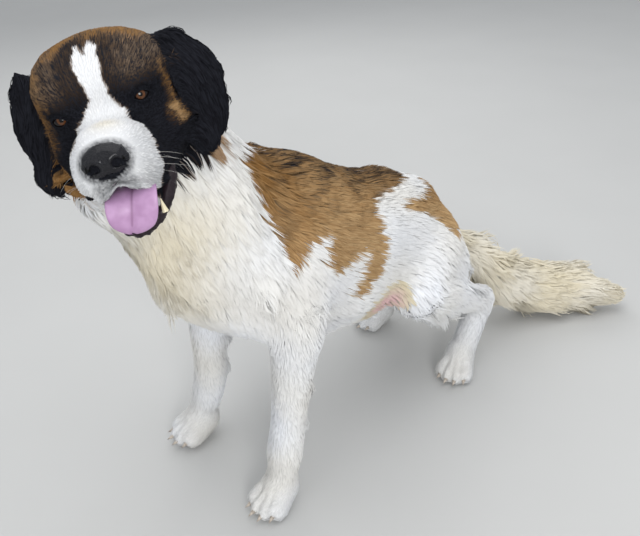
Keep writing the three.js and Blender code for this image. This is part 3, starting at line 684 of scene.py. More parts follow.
x, y, z = local.T
on_face, at_nape = is_part(*FACE), step(y, 0.03, 0.12)
eye_gap = np.minimum(*(distance(local, (side * EYE_X, -0.008, 0)) for side in (1, -1)))
nose_away = distance(local, (0, -0.104, -0.038))
fine = 0.45 + 0.55 * step(eye_gap, 0.014, 0.040) * step(nose_away, 0.025, 0.060)
traits[:, LENGTH] *= np.where(on_face, fine * (1 + 1.3 * at_nape + 0.6 * step(z, 0.02, 0.06)), 1)
traits[:, LOFT] *= np.where(on_face, fine * (1 + 1.6 * at_nape), 1)
low_ear = is_part(*EARS) * step(-z, 0.02, 0.10)
add_to(low_ear, {LENGTH: np.where(x > 0, 0.016, 0.010), HANG: 0.2, WAVE: 0.0015})
backward, downward = step(skin_normals[:, 1], 0.25, 0.75), step(-skin_normals[:, 2], 0.1, 0.6)
add_to(shoulder(design, skin_parts), {LENGTH: 0.018, LOFT: 0.0075})
feather = is_part(*FORELEGS) * backward * step(design[:, 2], 0.13, 0.20)
add_to(feather, {LENGTH: 0.026, LOFT: 0.006, HANG: 0.2})
curtain = is_part(*THIGHS, *SHINS) * np.maximum(backward, downward) * step(design[:, 2], 0.16, 0.22)
add_to(curtain, {LENGTH: 0.045, HANG: 0.5, WAVE: 0.0020})
take_from(curtain, {PER_CM2: -0.5})
belly = is_part("chest", "loin") * downward
add_to(belly, {HANG: 0.12})
take_from(belly, {LENGTH: 0.25})
for at in ((0.070, 0.080, -0.125), (-0.080, 0.060, -0.130)):
    at_cheek = is_part("neck") * hump(distance(local, at), 0.050)
    take_from(at_cheek, {LENGTH: 0.5, LOFT: 0.4, WAVE: 0.7})
topline = is_part("neck", "chest") * step(skin_normals[:, 2], 0.3, 0.8)
traits[:, LENGTH] *= 1 - 0.3 * topline - 0.2 * at_withers
take_from(topline, {LOFT: 0.4})
take_from(at_withers, {WAVE: 0.8})
GROIN = (0.112, 0.245, 0.285)
take_from(hump(distance(design, GROIN), 0.050), {LENGTH: 0.6, PER_CM2: 0.7})
traits = web.spread(traits, 8)


# Markings. White, with a tan saddle and rump patch, dark along the spine, a pink groin, a black mask
# and jowl that turn brown on the forehead and orange beside the ears, and black ears above tan patches.
# Skin and tufts read the same ones, worked out from outlines and distances on the body. The black share also
# carries painted shade that greys the white of the face.
def hide_map(design):
    """A place on the trunk as its distance along the body and its girth distance from the spine."""
    height = design[:, 2] - (0.462 - 0.30 * design[:, 1])
    return np.stack((design[:, 1], 0.14 * np.arctan2(design[:, 0], height)), 1)


def within(places, outline):
    """How far each place is inside an outline, below 0 outside it."""
    outline = np.array(outline)
    away = np.full(len(places), np.inf)
    inside = np.zeros(len(places), bool)
    for start, end in zip(outline, np.roll(outline, -1, 0)):
        along = end - start
        share = np.clip((places - start) @ along / (along @ along), 0, 1)
        away = np.minimum(away, distance(places - start, share[:, None] * along))
        crosses = (start[1] > places[:, 1]) != (end[1] > places[:, 1])
        reach = start[0] + along[0] * (places[:, 1] - start[1]) / (along[1] or 1)
        inside ^= crosses & (places[:, 0] < reach)
    return np.where(inside, away, -away)


def ripple(points, scale, seed):
    """Smooth noise from -1 to 1, with features of about the given size."""
    draw = np.random.default_rng(seed)
    waves = unit(draw.normal(size=(9, 3))) * draw.uniform(0.6, 1.6, (9, 1)) * 2 * math.pi / scale
    return np.clip(np.sin(points @ waves.T + draw.uniform(0, 2 * math.pi, 9)).sum(1) / 4, -1, 1)


SADDLE_LEFT = [
    (0.050, -0.005), (0.010, 0.015), (-0.017, 0.034), (-0.048, 0.055), (-0.034, 0.086), (-0.031, 0.132),
    (-0.026, 0.185), (0.012, 0.164), (0.045, 0.150), (0.070, 0.137), (0.062, 0.165), (0.053, 0.191),
    (0.075, 0.205), (0.101, 0.204), (0.140, 0.190), (0.171, 0.174), (0.150, 0.225), (0.128, 0.275),
    (0.165, 0.262), (0.195, 0.235), (0.213, 0.204), (0.222, 0.170), (0.218, 0.137), (0.235, 0.105),
    (0.259, 0.085), (0.300, 0.072), (0.360, 0.050), (0.410, 0.030), (0.418, -0.005),
]
SADDLE_RIGHT = [
    (0.050, 0.005), (-0.010, -0.030), (-0.040, -0.060), (-0.036, -0.110), (-0.010, -0.165), (0.040, -0.150),
    (0.080, -0.180), (0.130, -0.200), (0.180, -0.170), (0.205, -0.210), (0.235, -0.150), (0.262, -0.095),
    (0.320, -0.070), (0.380, -0.045), (0.418, 0.005),
]
RUMP_PATCH = [
    (0.466, 0.0), (0.457, 0.052), (0.415, 0.078), (0.350, 0.092), (0.322, 0.106), (0.360, 0.118),
    (0.400, 0.124), (0.425, 0.145), (0.440, 0.185), (0.470, 0.195), (0.520, 0.150), (0.545, 0.060),
    (0.545, -0.060), (0.520, -0.150), (0.460, -0.170), (0.425, -0.130), (0.400, -0.100), (0.440, -0.060),
]
BLAZE = [
    (-0.008, 0.071), (0.002, 0.062), (0.010, 0.070), (0.020, 0.064), (0.020, 0.051), (0.019, 0.036),
    (0.019, 0.017), (0.026, -0.003), (0.040, -0.012), (0.070, -0.016), (0.070, -0.120),
    (-0.065, -0.120), (-0.065, -0.046), (-0.042, -0.026), (-0.030, -0.010), (-0.018, 0.000),
    (-0.004, 0.016), (-0.006, 0.032), (-0.014, 0.048), (-0.012, 0.060),
]
BLAZE_DOWN = (-0.01, 0, 0.018, 0.023, 0.028, 0.034, 0.052)
BLAZE_FRONT = (0.030, -0.020, -0.032, -0.045, -0.060, -0.071, -0.080)
FAR_DOWN, FAR_FRONT = (-0.01, 0, 0.018, 0.028), (0.03, -0.026, -0.020, -0.060)
JOWL_X, JOWL_FLOOR = (0.030, 0.050, 0.080), (-0.148, -0.143, -0.130)
LIP_X = (-0.04, -0.018, 0.002, 0.02, 0.04, 0.055)
LIP_EDGE = (-0.090, -0.086, -0.080, -0.087, -0.094, -0.096)
TAN_BELOW_EAR = [
    ((0.106, 0.102, -0.124), (0.014, 0.034, 0.024)),
    ((-0.082, 0.045, -0.090), (0.030, 0.055, 0.036)),
]


def markings_and_face_shade(points, parts):
    """Shares of tan and of black, and how creamy the white or how light the tan is, at each place. The black
    share also holds painted shade on the face's white.
    """
    design = points - np.array(ORIGIN)
    local = to_head(points)
    x, y, z = local.T
    sideways = np.abs(x)
    ragged = 0.006 * ripple(points, 0.03, 3) + 0.003 * ripple(points, 0.011, 4)

    def on(*names):
        return on_parts(parts, *names)

    # The trunk.
    places = hide_map(design)
    saddle = np.maximum(within(places, SADDLE_LEFT), within(places, SADDLE_RIGHT))
    rump = within(places, RUMP_PATCH)
    patches = step(np.maximum(saddle, rump) + ragged, -0.003, 0.004)
    tan = on("neck", "chest", "loin", "rump", *THIGHS) * patches
    spine = hump(places[:, 1], 0.056) * step(places[:, 0], -0.04, 0.10)
    streaks = 0.5 + 0.5 * ripple(design * (1, 0.35, 1), 0.026, 5)
    black = 0.60 * spine + 0.42 * step(streaks, 0.45, 0.95) * step(np.abs(places[:, 1]), 0.17, 0.06)
    black = tan * np.clip(black, 0, 0.82) * (1 - 0.8 * step(rump, -0.01, 0.01))
    light = 0.14 + 0.34 * step(np.abs(places[:, 1]), 0.05, 0.17) + 0.34 * step(places[:, 0], 0.02, 0.12)
    light = light + 0.14 * ripple(design, 0.09, 14) + 0.15 * step(rump, -0.01, 0.01)
    cream = 0.18 + 0.15 * ripple(points, 0.16, 6) + 0.60 * on(*TAIL)
    throat = np.exp(-(((design - (0.02, -0.17, 0.56)) / (0.12, 0.10, 0.13)) ** 2).sum(1))
    cream = cream + 0.70 * on("neck", "chest") * throat
    gaps = [distance(local, at, size) + 20 * ragged for at, size in TAN_BELOW_EAR]
    below_left, below_right = (0.9 * step(gap, 1.25, 0.75) for gap in gaps)
    below_ear = np.maximum(below_left, below_right)
    behind_cheek = on("neck") * step(z, -0.110, -0.090) * step(y, 0.160, 0.135) * step(-z, -0.07, -0.05)
    jowl = step(z - np.interp(x, JOWL_X, JOWL_FLOOR) + ragged, -0.003, 0.004) * step(x, 0.0, 0.02)
    jowl = jowl * step(x - 0.3 * ragged, 0.104, 0.096) * step(y, 0.140, 0.120)
    tan = np.maximum(tan, np.maximum(below_ear, np.maximum(jowl, behind_cheek)))
    black = np.maximum(black, np.maximum(jowl, 0.7 * behind_cheek))
    black = black * (1 - 0.85 * below_ear)
    light = light + (0.15 - light) * (below_ear > 0.1)
    pink = hump(distance(design, GROIN), 0.046)
    cream = np.where(pink > 0.2, 1 + pink, cream)

    # The face: black, with a white blaze and muzzle, brown on the forehead and orange over the crown.
    on_head = on(*FACE)
    blaze = within(local[:, [0, 2]], BLAZE) + 0.35 * ragged
    front_of = np.interp(-z, BLAZE_DOWN, BLAZE_FRONT) - y
    white = step(np.minimum(blaze, np.where(x > 0, front_of + 0.3 * ragged, 1)), -0.0015, 0.0025)
    far_front = np.interp(-z, FAR_DOWN, FAR_FRONT) - y + 0.3 * ragged
    white = white * np.where(x < 0, step(far_front, -0.0015, 0.0025), 1)
    chin_edge = np.where(x < -0.02, 0.020, 0)
    dark = 1 - np.maximum(white * (z > -0.112), step(z - chin_edge, -0.128, -0.138))
    edge = np.where(x < 0, np.interp(z, (-0.05, 0.007, 0.040), (0.076, 0.066, 0.056)), 0.079)
    beside_ears = step(sideways - edge + 0.6 * ragged, -0.008, 0.008) * step(z, -0.058, -0.035)
    beside_ears = beside_ears * np.where(x > 0, step(z, 0.040, 0.020), 1)
    by_ear = step(sideways - np.where(x < 0, 0.087, 0.0845) + 0.3 * ragged, -0.002, 0.002) * (z < 0.060)
    beside_ears = beside_ears * (1 - by_ear)
    crown = step(z + 0.35 * y + 0.35 * sideways + 1.1 * ragged, 0.076, 0.106)
    crown = crown * step(sideways, 0.090, 0.070)
    mottled = 0.8 + 0.2 * ripple(points, 0.014, 9)
    orange = np.maximum(np.where(x < 0, 0.62, 0.8) * beside_ears, 0.90 * crown)
    orange = mottled * orange * step(z, -0.06, -0.03)
    along_ear = (x - 0.0835) + 0.35 * (z + 0.036)
    peach = step(np.abs(along_ear) + 0.6 * ragged, 0.009, 0.000) * step(z, -0.056, -0.048)
    peach = peach * step(-z, 0.020, 0.030) * (x > 0) * (y < 0.045)
    orange = np.maximum(orange, np.maximum(0.9 * peach, below_right))
    forehead = step(z, 0.008, 0.040) * (0.4 + 0.6 * step(sideways, 0.024, 0.050))
    forehead = forehead * (0.8 + 0.2 * ripple(points, 0.012, 7))
    lip = step(np.interp(x, LIP_X, LIP_EDGE) + 0.003 - z, 0.000, 0.004)
    lip = lip * (z > -0.112) * step(-y, 0.020, 0.035) * on("head")
    face_black_and_shade = np.maximum(dark * (1 - np.maximum(orange, 0.22 * forehead)), 0.95 * lip)
    nose_gap = distance(local, (0, -0.098, -0.040), (0.027, 0.022, 0.021))
    philtrum = step(z, -0.050, -0.062) * step(sideways, 0.036, 0.018) * step(y, -0.085, -0.098)
    freckles = np.maximum(step(nose_gap, 1.42, 1.12), 0.75 * philtrum)
    freckles = freckles * (0.8 + 0.2 * ripple(points, 0.005, 8))
    face_black_and_shade = np.maximum(face_black_and_shade, 0.9 * freckles * step(y, -0.06, -0.075))
    pink = hump(distance(local, (0.008, -0.070, -0.006)), 0.016)
    # Painted shade, not a marking: the face's white is greyed a little all over, more under the muzzle and
    # most on its left side below the eyes.
    painted_face_shade = 0.07 + 0.12 * step(-z, 0.045, 0.080) + 0.24 * step(x, 0.016, 0.044) * step(-z, 0.000, 0.030)
    face_black_and_shade = np.maximum(face_black_and_shade, painted_face_shade * white)
    brindled = np.maximum(dark, lip) * (1 - 0.17 * forehead * (1 - np.minimum(1.4 * orange, 1)))
    tan = np.where(on_head, brindled, tan)
    black = np.where(on_head, np.maximum(face_black_and_shade, nose_gap < 1.05), black)
    cream = np.where(on_head, 0.1 + 0.5 * pink, cream)
    light = np.where(on_head, 0.05 + 0.5 * peach + 0.25 * forehead * (1 - crown), light)
    ears = on(*EARS)
    tan, black = np.where(ears, 1, tan), np.where(ears, 1.0, black)
    return np.stack((tan, black, np.clip(tan * light + (1 - tan) * cream, 0, 2)), 1)


COOL_WHITE, CREAM = (0.84, 0.86, 0.90), (0.72, 0.64, 0.46)
GREY_WHITE, BARE_PINK = (0.70, 0.67, 0.61), (0.74, 0.50, 0.50)
DARK_RUST, RUST = (0.19, 0.092, 0.028), (0.33, 0.180, 0.066)
DARK_SAND, SAND = (0.40, 0.25, 0.12), (0.55, 0.38, 0.20)
JET, BLUE_BLACK = (0.006, 0.006, 0.008), (0.015, 0.016, 0.021)


def coat_finish(name, on_tufts):
    """Fur colour from the coat's pattern, with the painted shade on the face's white: white and cream, tan,
    brown and black, and painted shade that darkens each tuft toward its root (on the skin, by fine noise).
    """
    finish = Finish(name, Roughness=0.8, Specular_IOR_Level=0.04)
    tan, black, tone = finish.parts_of("marks_and_face_shade")
    fine = finish.noise(420, 3, 0.6).within(0.3, 0.7)
    broad = finish.noise(26, 2).within(0.35, 0.65)
    if on_tufts:
        chance, along, _ = finish.parts_of("strand")
    else:
        chance, along = fine, fine * 0.3
    white = finish.blend(tone, COOL_WHITE, CREAM)
    white = finish.blend((1 - chance) * 0.14 + broad * 0.08, white, GREY_WHITE)
    white = finish.blend((tone * 0.5).within(0.60, 0.95), white, BARE_PINK)
    deep_tan = finish.blend(chance, DARK_RUST, RUST)
    light_tan = finish.blend(chance, DARK_SAND, SAND)
    fur = finish.blend(tan, white, finish.blend(tone, deep_tan, light_tan))
    ink = finish.blend(chance, JET, BLUE_BLACK)
    fur = finish.blend(black + (chance - 0.5) * (black * (1 - black) * (1 + 2.2 * tan)), fur, ink)
    # Painted shade: darker toward each tuft's root, standing in for the shade deep in the coat.
    shade = finish.blend(along.within(-0.15, 0.65), (0.80, 0.80, 0.80), (1, 1, 1))
    settings = {"data_type": "RGBA", "blend_type": "MULTIPLY"}
    finish.set("Base Color", finish.add("Mix", settings, {"Factor": 1.0, 6: fur, 7: shade}, out=2))
    if not on_tufts:
        finish.bump(finish.noise(900, 2, 0.7), 0.0006)
    return finish


def give(piece, name, values):
    """Keeps one number or three for each vertex of a piece, for its material to read."""
    kind, key = ("FLOAT", "value") if values.ndim == 1 else ("FLOAT_VECTOR", "vector")
    attribute = piece.data.attributes.new(name, kind, "POINT")
    attribute.data.foreach_set(key, np.ascontiguousarray(values, np.float32).ravel())


def dress(piece, finish):
    piece.data.materials.clear()
    piece.data.materials.append(finish.material)


give(skin, "marks_and_face_shade", markings_and_face_shade(skin_points, skin_parts))
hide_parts(*NAMES)
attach(skin, "root")
dress(skin, coat_finish("short_fur", False))
skin.data.polygons.foreach_set("material_index", [0] * len(skin.data.polygons))


# The coat: solid tufts over the skin, rooted in it, which follow its lie, rise to the coat's height and
# draw together into locks. Each is a thin blade of three sides that ends in a point. A rough unwrap of
# the skin's shape gives each tuft its place in the map for the bake.
UNWRAP_VOXEL = 0.014
select_only(skin)
bpy.ops.object.duplicate()
unwrapped = bpy.context.object
apply_modifier(unwrapped, "REMESH", mode="VOXEL", voxel_size=UNWRAP_VOXEL)
apply_modifier(unwrapped, "TRIANGULATE")
bpy.ops.object.mode_set(mode="EDIT")
bpy.ops.mesh.select_all(action="SELECT")
bpy.ops.uv.smart_project(angle_limit=math.radians(66), island_margin=0.002)
bpy.ops.object.mode_set(mode="OBJECT")
unwrap_uv = numbers_in(unwrapped.data.uv_layers[0].data, "uv", 2).reshape(-1, 3, 2)
unwrap_points = vertices_of(unwrapped)
unwrap_faces = np.array([tuple(face.vertices) for face in unwrapped.data.polygons])
unwrap_tree = BVHTree.FromPolygons(unwrap_points.tolist(), unwrap_faces.tolist())
bpy.data.objects.remove(unwrapped)


def doubled_area(a, b, c):
    return np.linalg.norm(np.cross(b - a, c - a), axis=1)


def unwrap_at(points):
    """Where each point falls on an unwrap of the skin's shape."""
    hits = [unwrap_tree.find_nearest(point) for point in points]
    face = np.array([hit[2] for hit in hits])
    spot = np.array([hit[0] for hit in hits])
    a, b, c = (unwrap_points[unwrap_faces[face, k]] for k in range(3))
    whole = doubled_area(a, b, c)
    share_b = doubled_area(a, spot, c) / whole
    share_c = doubled_area(a, b, spot) / whole
    uv = unwrap_uv[face]
    return uv[:, 0] + share_b[:, None] * (uv[:, 1] - uv[:, 0]) + share_c[:, None] * (uv[:, 2] - uv[:, 0])


skin_tree = tree_of(skin_points)


def nearest_skin(points):
    return np.array([skin_tree.find(point)[1] for point in points])


skin.data.calc_loop_triangles()
corners = numbers_in(skin.data.loop_triangles, "vertices", 3, int)
faces_at = skin_points[corners]
face_area = doubled_area(*faces_at.transpose(1, 0, 2)) / 2
face_part = skin_parts[corners[:, 0]]
DOWN = np.array((0, 0, -1))
ROOT_SINK = 0.0015
FLOOR_GAP, BLADE_FLOOR = 0.0015, 0.0003
CM2_IN_M2 = 1e4
PATCH_SIZE = 0.003


def furred(spots):
    """0 where no coat grows, in the mouth, in the eyes and under the nose leather, and 1 elsewhere."""
    local = to_head(spots)
    eyes = np.minimum(*(distance(local, (side * EYE_X, -0.010, 0)) for side in (1, -1)))
    nose = distance(local, (0, -0.102, -0.037), (0.028, 0.024, 0.020))
    mouth = distance(local, (0.004, -0.062, -0.106), (0.044, 0.052, 0.020))
    return (eyes > 0.0112) * (nose > 1.0) * (mouth > 1.0)


def roots_on(names, draw, side):
    """Places on some parts of the skin, spread as the number of tufts asks, on one side or on both."""
    middles = faces_at.mean(1)
    sideways = to_head(middles)[:, 0] if names == FACE else middles[:, 0] - ORIGIN.x
    chosen = on_parts(face_part, *names)
    wanted = face_area * CM2_IN_M2 * traits[corners][:, :, PER_CM2].mean(1) * chosen * furred(middles)
    if side:
        wanted *= side * sideways > 0
    total = np.cumsum(wanted)
    count = int(total[-1])
    face = np.searchsorted(total, (np.arange(count) + draw.uniform(0, 1, count)) * total[-1] / count)
    face = np.minimum(face, len(total) - 1)
    r, s = np.sqrt(draw.uniform(0, 1, count)), draw.uniform(0, 1, count)
    shares = np.stack((1 - r, r * (1 - s), r * s), 1)
    return (faces_at[face] * shares[:, :, None]).sum(1), face_part[face]


def paths_over(roots, length, loft, hang, steps):
    """The line of each tuft over the skin, with the skin's normal along it."""
    here, near = roots.copy(), nearest_skin(roots)
    lines, normals = [roots - ROOT_SINK * skin_normals[near]], [skin_normals[near]]
    heading = lie[near]
    for number in range(1, steps + 1):
        share = number / steps
        pull = (hang * share)[:, None]
        heading = unit(0.45 * heading + 0.55 * (lie[near] * (1 - pull) + DOWN * pull))
        here = here + heading * (length / steps)[:, None]
        found = nearest_skin(here)
        near = np.where(dot(skin_normals[found], normals[-1]) > 0.3, found, near)
        normal = skin_normals[near]
        short = loft * share**0.7 - dot(here - skin_points[near], normal)
        here = here + normal * np.where(short > 0, short, short * (1 - hang * share))[:, None]
        here[:, 2] = np.maximum(here[:, 2], FLOOR_GAP)
        lines.append(here)
        normals.append(normal)
    return np.array(lines), np.array(normals)


def blades(name, lines, normals, widths, tints, marks_and_face_shade, uv):
    """A mesh of three-sided blades along lines. tints holds a chance number for each blade."""
    rings, count = len(lines) - 1, lines.shape[1]
    along = unit(np.gradient(lines, axis=0))
    side = [unit(np.cross(along[0], normals[0]))]
    for heading in along[1:]:
        side.append(unit(side[-1] - dot(side[-1], heading)[:, None] * heading))
    side = np.array(side)
    share = np.linspace(0, 1, rings + 1)
    profile = np.interp(share[:-1], (0, 0.3, 0.7, 1), (0.6, 1, 0.8, 0.2))
    half = widths[None, :, None] * profile[:, None, None] / 2
    up = unit(np.cross(side, along))
    low, rise = lines[:-1], up[:-1] * half * 0.8
    ring = np.stack((low + side[:-1] * half, low + rise, low - side[:-1] * half), 2)

    def ring_rows(values):
        """The same row for the three vertices of each ring of each blade."""
        return np.repeat(values[:-1].transpose(1, 0, 2), 3, axis=1)

    def with_tips(rows, values):
        return np.concatenate((rows, values[-1][:, None]), 1).reshape(-1, 3)

    points = with_tips(ring.transpose(1, 0, 2, 3).reshape(count, rings * 3, 3), lines)
    points[:, 2] = np.maximum(points[:, 2], BLADE_FLOOR)
    size = rings * 3 + 1
    faces = [(0, 1, 2)]
    for k in range(rings - 1):
        for a, b in ((0, 1), (1, 2), (2, 0)):
            low_a, low_b, high_a, high_b = 3 * k + a, 3 * k + b, 3 * k + 3 + a, 3 * k + 3 + b
            faces += [(low_a, high_a, high_b), (low_a, high_b, low_b)]
    last = 3 * (rings - 1)
    faces += [(last + a, size - 1, last + b) for a, b in ((0, 1), (1, 2), (2, 0))]
    columns = [{corner % 3 for corner in face if corner < size - 1} for face in faces]
    under = np.array([False] + [column == {0, 2} for column in columns[1:]])
    faces = (np.array(faces)[None] + size * np.arange(count)[:, None, None]).reshape(-1)
    mesh = bpy.data.meshes.new(name)
    mesh.vertices.add(len(points))
    mesh.vertices.foreach_set("co", points.ravel())
    mesh.loops.add(len(faces))
    mesh.loops.foreach_set("vertex_index", faces)
    mesh.polygons.add(len(faces) // 3)
    mesh.polygons.foreach_set("loop_start", np.arange(0, len(faces), 3))
    mesh.update(calc_edges=True)
    piece = bpy.data.objects.new(name, mesh)
    bpy.context.collection.objects.link(piece)
    at_vertex = np.concatenate((np.repeat(share[:-1], 3), [1.0]))
    strand = np.stack((np.repeat(tints, size), np.tile(at_vertex, count), np.zeros(count * size)), 1)
    give(piece, "strand", strand)
    give(piece, "marks_and_face_shade", np.repeat(marks_and_face_shade, size, axis=0))
    sideways = np.concatenate((np.tile((-0.5, 0, 0.5), rings), [0.0]))
    patch = PATCH_SIZE * np.stack((sideways, at_vertex - 0.5), 1)
    spots = (uv[:, None] + patch[None]).reshape(-1, 2)
    layer = mesh.uv_layers.new(name="OFBake")
    layer.data.foreach_set("uv", spots[faces].ravel())
    close = 0.8 * np.clip(dot(normals[:1], up), 0, 1)[:, :, None]
    smooth = unit(close * normals[:1] + (1.05 - close) * up)
    lean = np.tile(np.array((0.2, 0, -0.2)), rings)[None, :, None]
    upper = with_tips(ring_rows(smooth) + lean * ring_rows(side), smooth)
    down = unit((0, 0, 0.7) - up)
    lower = with_tips(ring_rows(down), down)
    on_underside = np.tile(np.repeat(under, 3), count)[:, None]
    mesh.normals_split_custom_set(unit(np.where(on_underside, lower[faces], upper[faces])))
    return piece


fur = coat_finish("tufted_fur", True)
TUFTS_IN_LOCK = 16
WAVE_LENGTH = 0.055


def settled(lines, normals, length, loft, hang):
    """Whether each tuft lies along the skin, with no kink in it and its tip close by."""
    runs = unit(lines[1:] - lines[:-1])
    bend = np.minimum(dot(runs[1:], runs[:-1]).min(0), dot(runs[0], runs[-1]) + 0.1)
    lift = distance(lines[-1], skin_points[nearest_skin(lines[-1])])
    loose = 1.5 * loft + 0.005 + 0.9 * np.clip(hang - 0.15, 0, 1) * length
    return (dot(runs[0], normals[0]) < 0.65) & (bend > 0.5 - 3 * np.clip(hang - 0.13, 0, 1)) & (lift < loose)


def grow_coat(name, names, steps, seed, clump=0.0, side=0):
    """One piece of the coat, over some parts of the skin."""
    draw = np.random.default_rng(seed)
    roots, parts = roots_on(names, draw, side)
    count = len(roots)
    near = nearest_skin(roots)
    length, loft, girth, wave, hang = (traits[near, k] for k in (LENGTH, LOFT, GIRTH, WAVE, HANG))
    length = length * draw.uniform(0.7, 1.15, count)
    loft = loft * draw.uniform(0.75, 1.1, count)
    lines, normals = paths_over(roots, length, loft, np.clip(hang, 0, 0.95), steps)
    keep = settled(lines, normals, length, loft, hang)
    lines, normals = lines[:, keep], normals[:, keep]
    traits_kept = (roots, parts, length, loft, girth, wave, hang)
    roots, parts, length, loft, girth, wave, hang = (values[keep] for values in traits_kept)
    count = len(roots)
    if clump:
        share = np.linspace(0, 1, steps + 1)[:, None, None]
        leaders = draw.choice(count, max(1, count // TUFTS_IN_LOCK), replace=False)
        tree = tree_of(lines[1, leaders])
        leader = leaders[[tree.find(spot)[1] for spot in lines[1]]]
        reach = distance(lines[1], lines[1, leader])
        pull = clump * np.clip(1.6 - reach / 0.02, 0, 1)
        lines = lines + pull[None, :, None] * share**1.6 * (lines[:, leader] - lines)
        phase = draw.uniform(0, 2 * math.pi, count)[leader]
        across = unit(np.cross(np.gradient(lines, axis=0), normals))
        swing = np.sin(phase[None] + share[:, :, 0] * length[None] / WAVE_LENGTH * 2 * math.pi)
        lines = lines + across * (wave * swing * share[:, :, 0])[:, :, None]
        keep = settled(lines, normals, length, loft, hang)
        lines, normals = lines[:, keep], normals[:, keep]
        roots, parts, girth = roots[keep], parts[keep], girth[keep]
        count = len(roots)
    marks_and_face_shade = markings_and_face_shade(lines[max(1, round(0.5 * steps))], parts)
    widths = girth * draw.uniform(0.7, 1.3, count)
    piece = blades(name, lines, normals, widths, draw.uniform(0, 1, count), marks_and_face_shade, unwrap_at(roots))
    dress(piece, fur)
    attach(piece, "root")


for side_name, side in (("left", 1), ("right", -1)):
    grow_coat("coat_neck_" + side_name, ["neck"], 3, 20 + side, 0.55, side)
    grow_coat("coat_chest_" + side_name, ["chest"], 2, 30 + side, 0.4, side)
    grow_coat("coat_ear_" + side_name, ["ear_" + side_name], 3, 33 + side, 0.5)
grow_coat("coat_loin", ["loin", "rump"], 2, 23, 0.4)
grow_coat("coat_thighs", THIGHS, 3, 24, 0.5)
grow_coat("coat_hind_legs", SHINS + HOCKS, 2, 25, 0.4)
grow_coat("coat_forelegs", FORELEGS, 2, 26, 0.25)
grow_coat("coat_paws", PAW_PARTS, 2, 27)
grow_coat("coat_tail", TAIL, 4, 28, 0.6)
grow_coat("coat_face_left", FACE, 2, 29, 0, 1)
grow_coat("coat_face_right", FACE, 2, 39, 0, -1)


# The eyes: wet, glassy balls set behind the lids, with a fibrous brown iris round a black pupil.
# They look towards the viewer, each turned outward a little as its lids are.
def stand_for(piece, node, finish):
    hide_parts(node)
    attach(piece, "root")
    dress(piece, finish)
    smooth_shade(piece)


eye_finish = Finish("eye", Roughness=0.5, Specular_IOR_Level=0.0, Coat_Weight=0.6, Coat_Roughness=0.02)
from_pupil = eye_finish.attribute("from_pupil", 2)
fibres = eye_finish.noise(1400, 3, 0.6).within(0.3, 0.7)
iris = eye_finish.blend(fibres, (0.050, 0.018, 0.007), (0.130, 0.050, 0.018))
iris = eye_finish.blend(from_pupil.within(5.2, 6.6), iris, (0.006, 0.004, 0.004))
eye_finish.set("Base Color", eye_finish.blend(from_pupil.within(2.7, 3.2), (0.002, 0.002, 0.002), iris))
for side, node in ((1, "eye_left"), (-1, "eye_right")):
    centre = middle(node)
    bpy.ops.mesh.primitive_uv_sphere_add(segments=32, ring_count=24, radius=EYE_RADIUS)
    eye = bpy.context.object
    eye.name = "eyeball_" + node[4:]
    gaze = (ORIGIN + CAMERA_AT - centre).normalized() + 0.5 * Vector(eye_axes(side)[:, 2])
    points = vertices_of(eye)
    degrees = np.degrees(np.arccos(np.clip(points @ np.array(gaze.normalized()) / EYE_RADIUS, -1, 1)))
    millimetres = np.radians(degrees) * EYE_RADIUS * 1000
    set_vertices(eye, points + np.array(centre))
    give(eye, "from_pupil", millimetres)
    stand_for(eye, node, eye_finish)


# The nose leather: damp, black and pebbled, cast from its solid and smoothed. Two comma nostrils and
# a groove down its middle are pressed into it.
leather = Finish("nose_leather", Specular_IOR_Level=0.16, Coat_Weight=0.22, Coat_Roughness=0.09)
pebbles = leather.add("TexVoronoi", None, {"Vector": leather.add("TexCoord", out=3), "Scale": 620})
in_hollow = leather.attribute("hollow", 2)
black = leather.mottle(70, (0.004, 0.004, 0.006), (0.012, 0.012, 0.015))
# Painted shade: the nostrils' hollows are darkened to near black.
leather.set("Base Color", leather.blend(in_hollow, black, (0.001, 0.001, 0.001)))
leather.set("Roughness", 0.40 + in_hollow * 0.5)
creases = leather.noise(190, 4, 0.6)
leather.bump(pebbles + creases * 3, 0.0009, 0.9)
NOSE_VOXEL, NOSTRIL_DEPTH = 0.0011, 0.0060
nose = shell_of("nose_leather", ["nose"], NOSE_VOXEL)
points = Web(nose).smooth(vertices_of(nose), 9)
set_vertices(nose, points)
normals = normals_of(nose)
hollow = np.zeros(len(points))
for side in (1, -1):
    hole = np.array([(0.0095, -0.124, -0.040), (0.0140, -0.122, -0.037), (0.0185, -0.118, -0.041)])
    slit = np.array([hole[2], (0.026, -0.110, -0.047)])
    places = to_head(points)
    deeper = furrow(points, normals, places, hole * (side, 1, 1), 0.0044, NOSTRIL_DEPTH)
    deeper = furrow(deeper, normals, places, slit * (side, 1, 1), 0.0020, 0.0028)
    hollow = np.maximum(hollow, distance(deeper, points) / NOSTRIL_DEPTH)
    points = deeper
middle_groove = [(0, -0.124, -0.040), (0, -0.118, -0.060)]
points = furrow(points, normals, to_head(points), middle_groove, 0.0016, 0.0022)
set_vertices(nose, points)
give(nose, "hollow", step(hollow, 0.25, 0.75))
stand_for(nose, "nose", leather)


# The mouth: a broad wet tongue with a groove down its middle, which hangs over the lower jaw, the
# black lower lip that rolls out beside it, and the one tooth that shows.
flesh = Finish("tongue_flesh", Roughness=0.42, Coat_Weight=0.12, Coat_Roughness=0.2)
rosy = flesh.blend(flesh.noise(60, 2).within(0.3, 0.7), (0.38, 0.21, 0.375), (0.47, 0.28, 0.47))
off_middle = flesh.attribute("off_middle", 2)
# Painted shade: the groove down the tongue's upper side is painted darker, except near the tip.
flesh.set("Base Color", flesh.blend(off_middle.within(-0.05, 0.10), (0.22, 0.10, 0.20), rosy))
flesh.bump(flesh.noise(1500, 2, 0.6), 0.0005, 0.6)


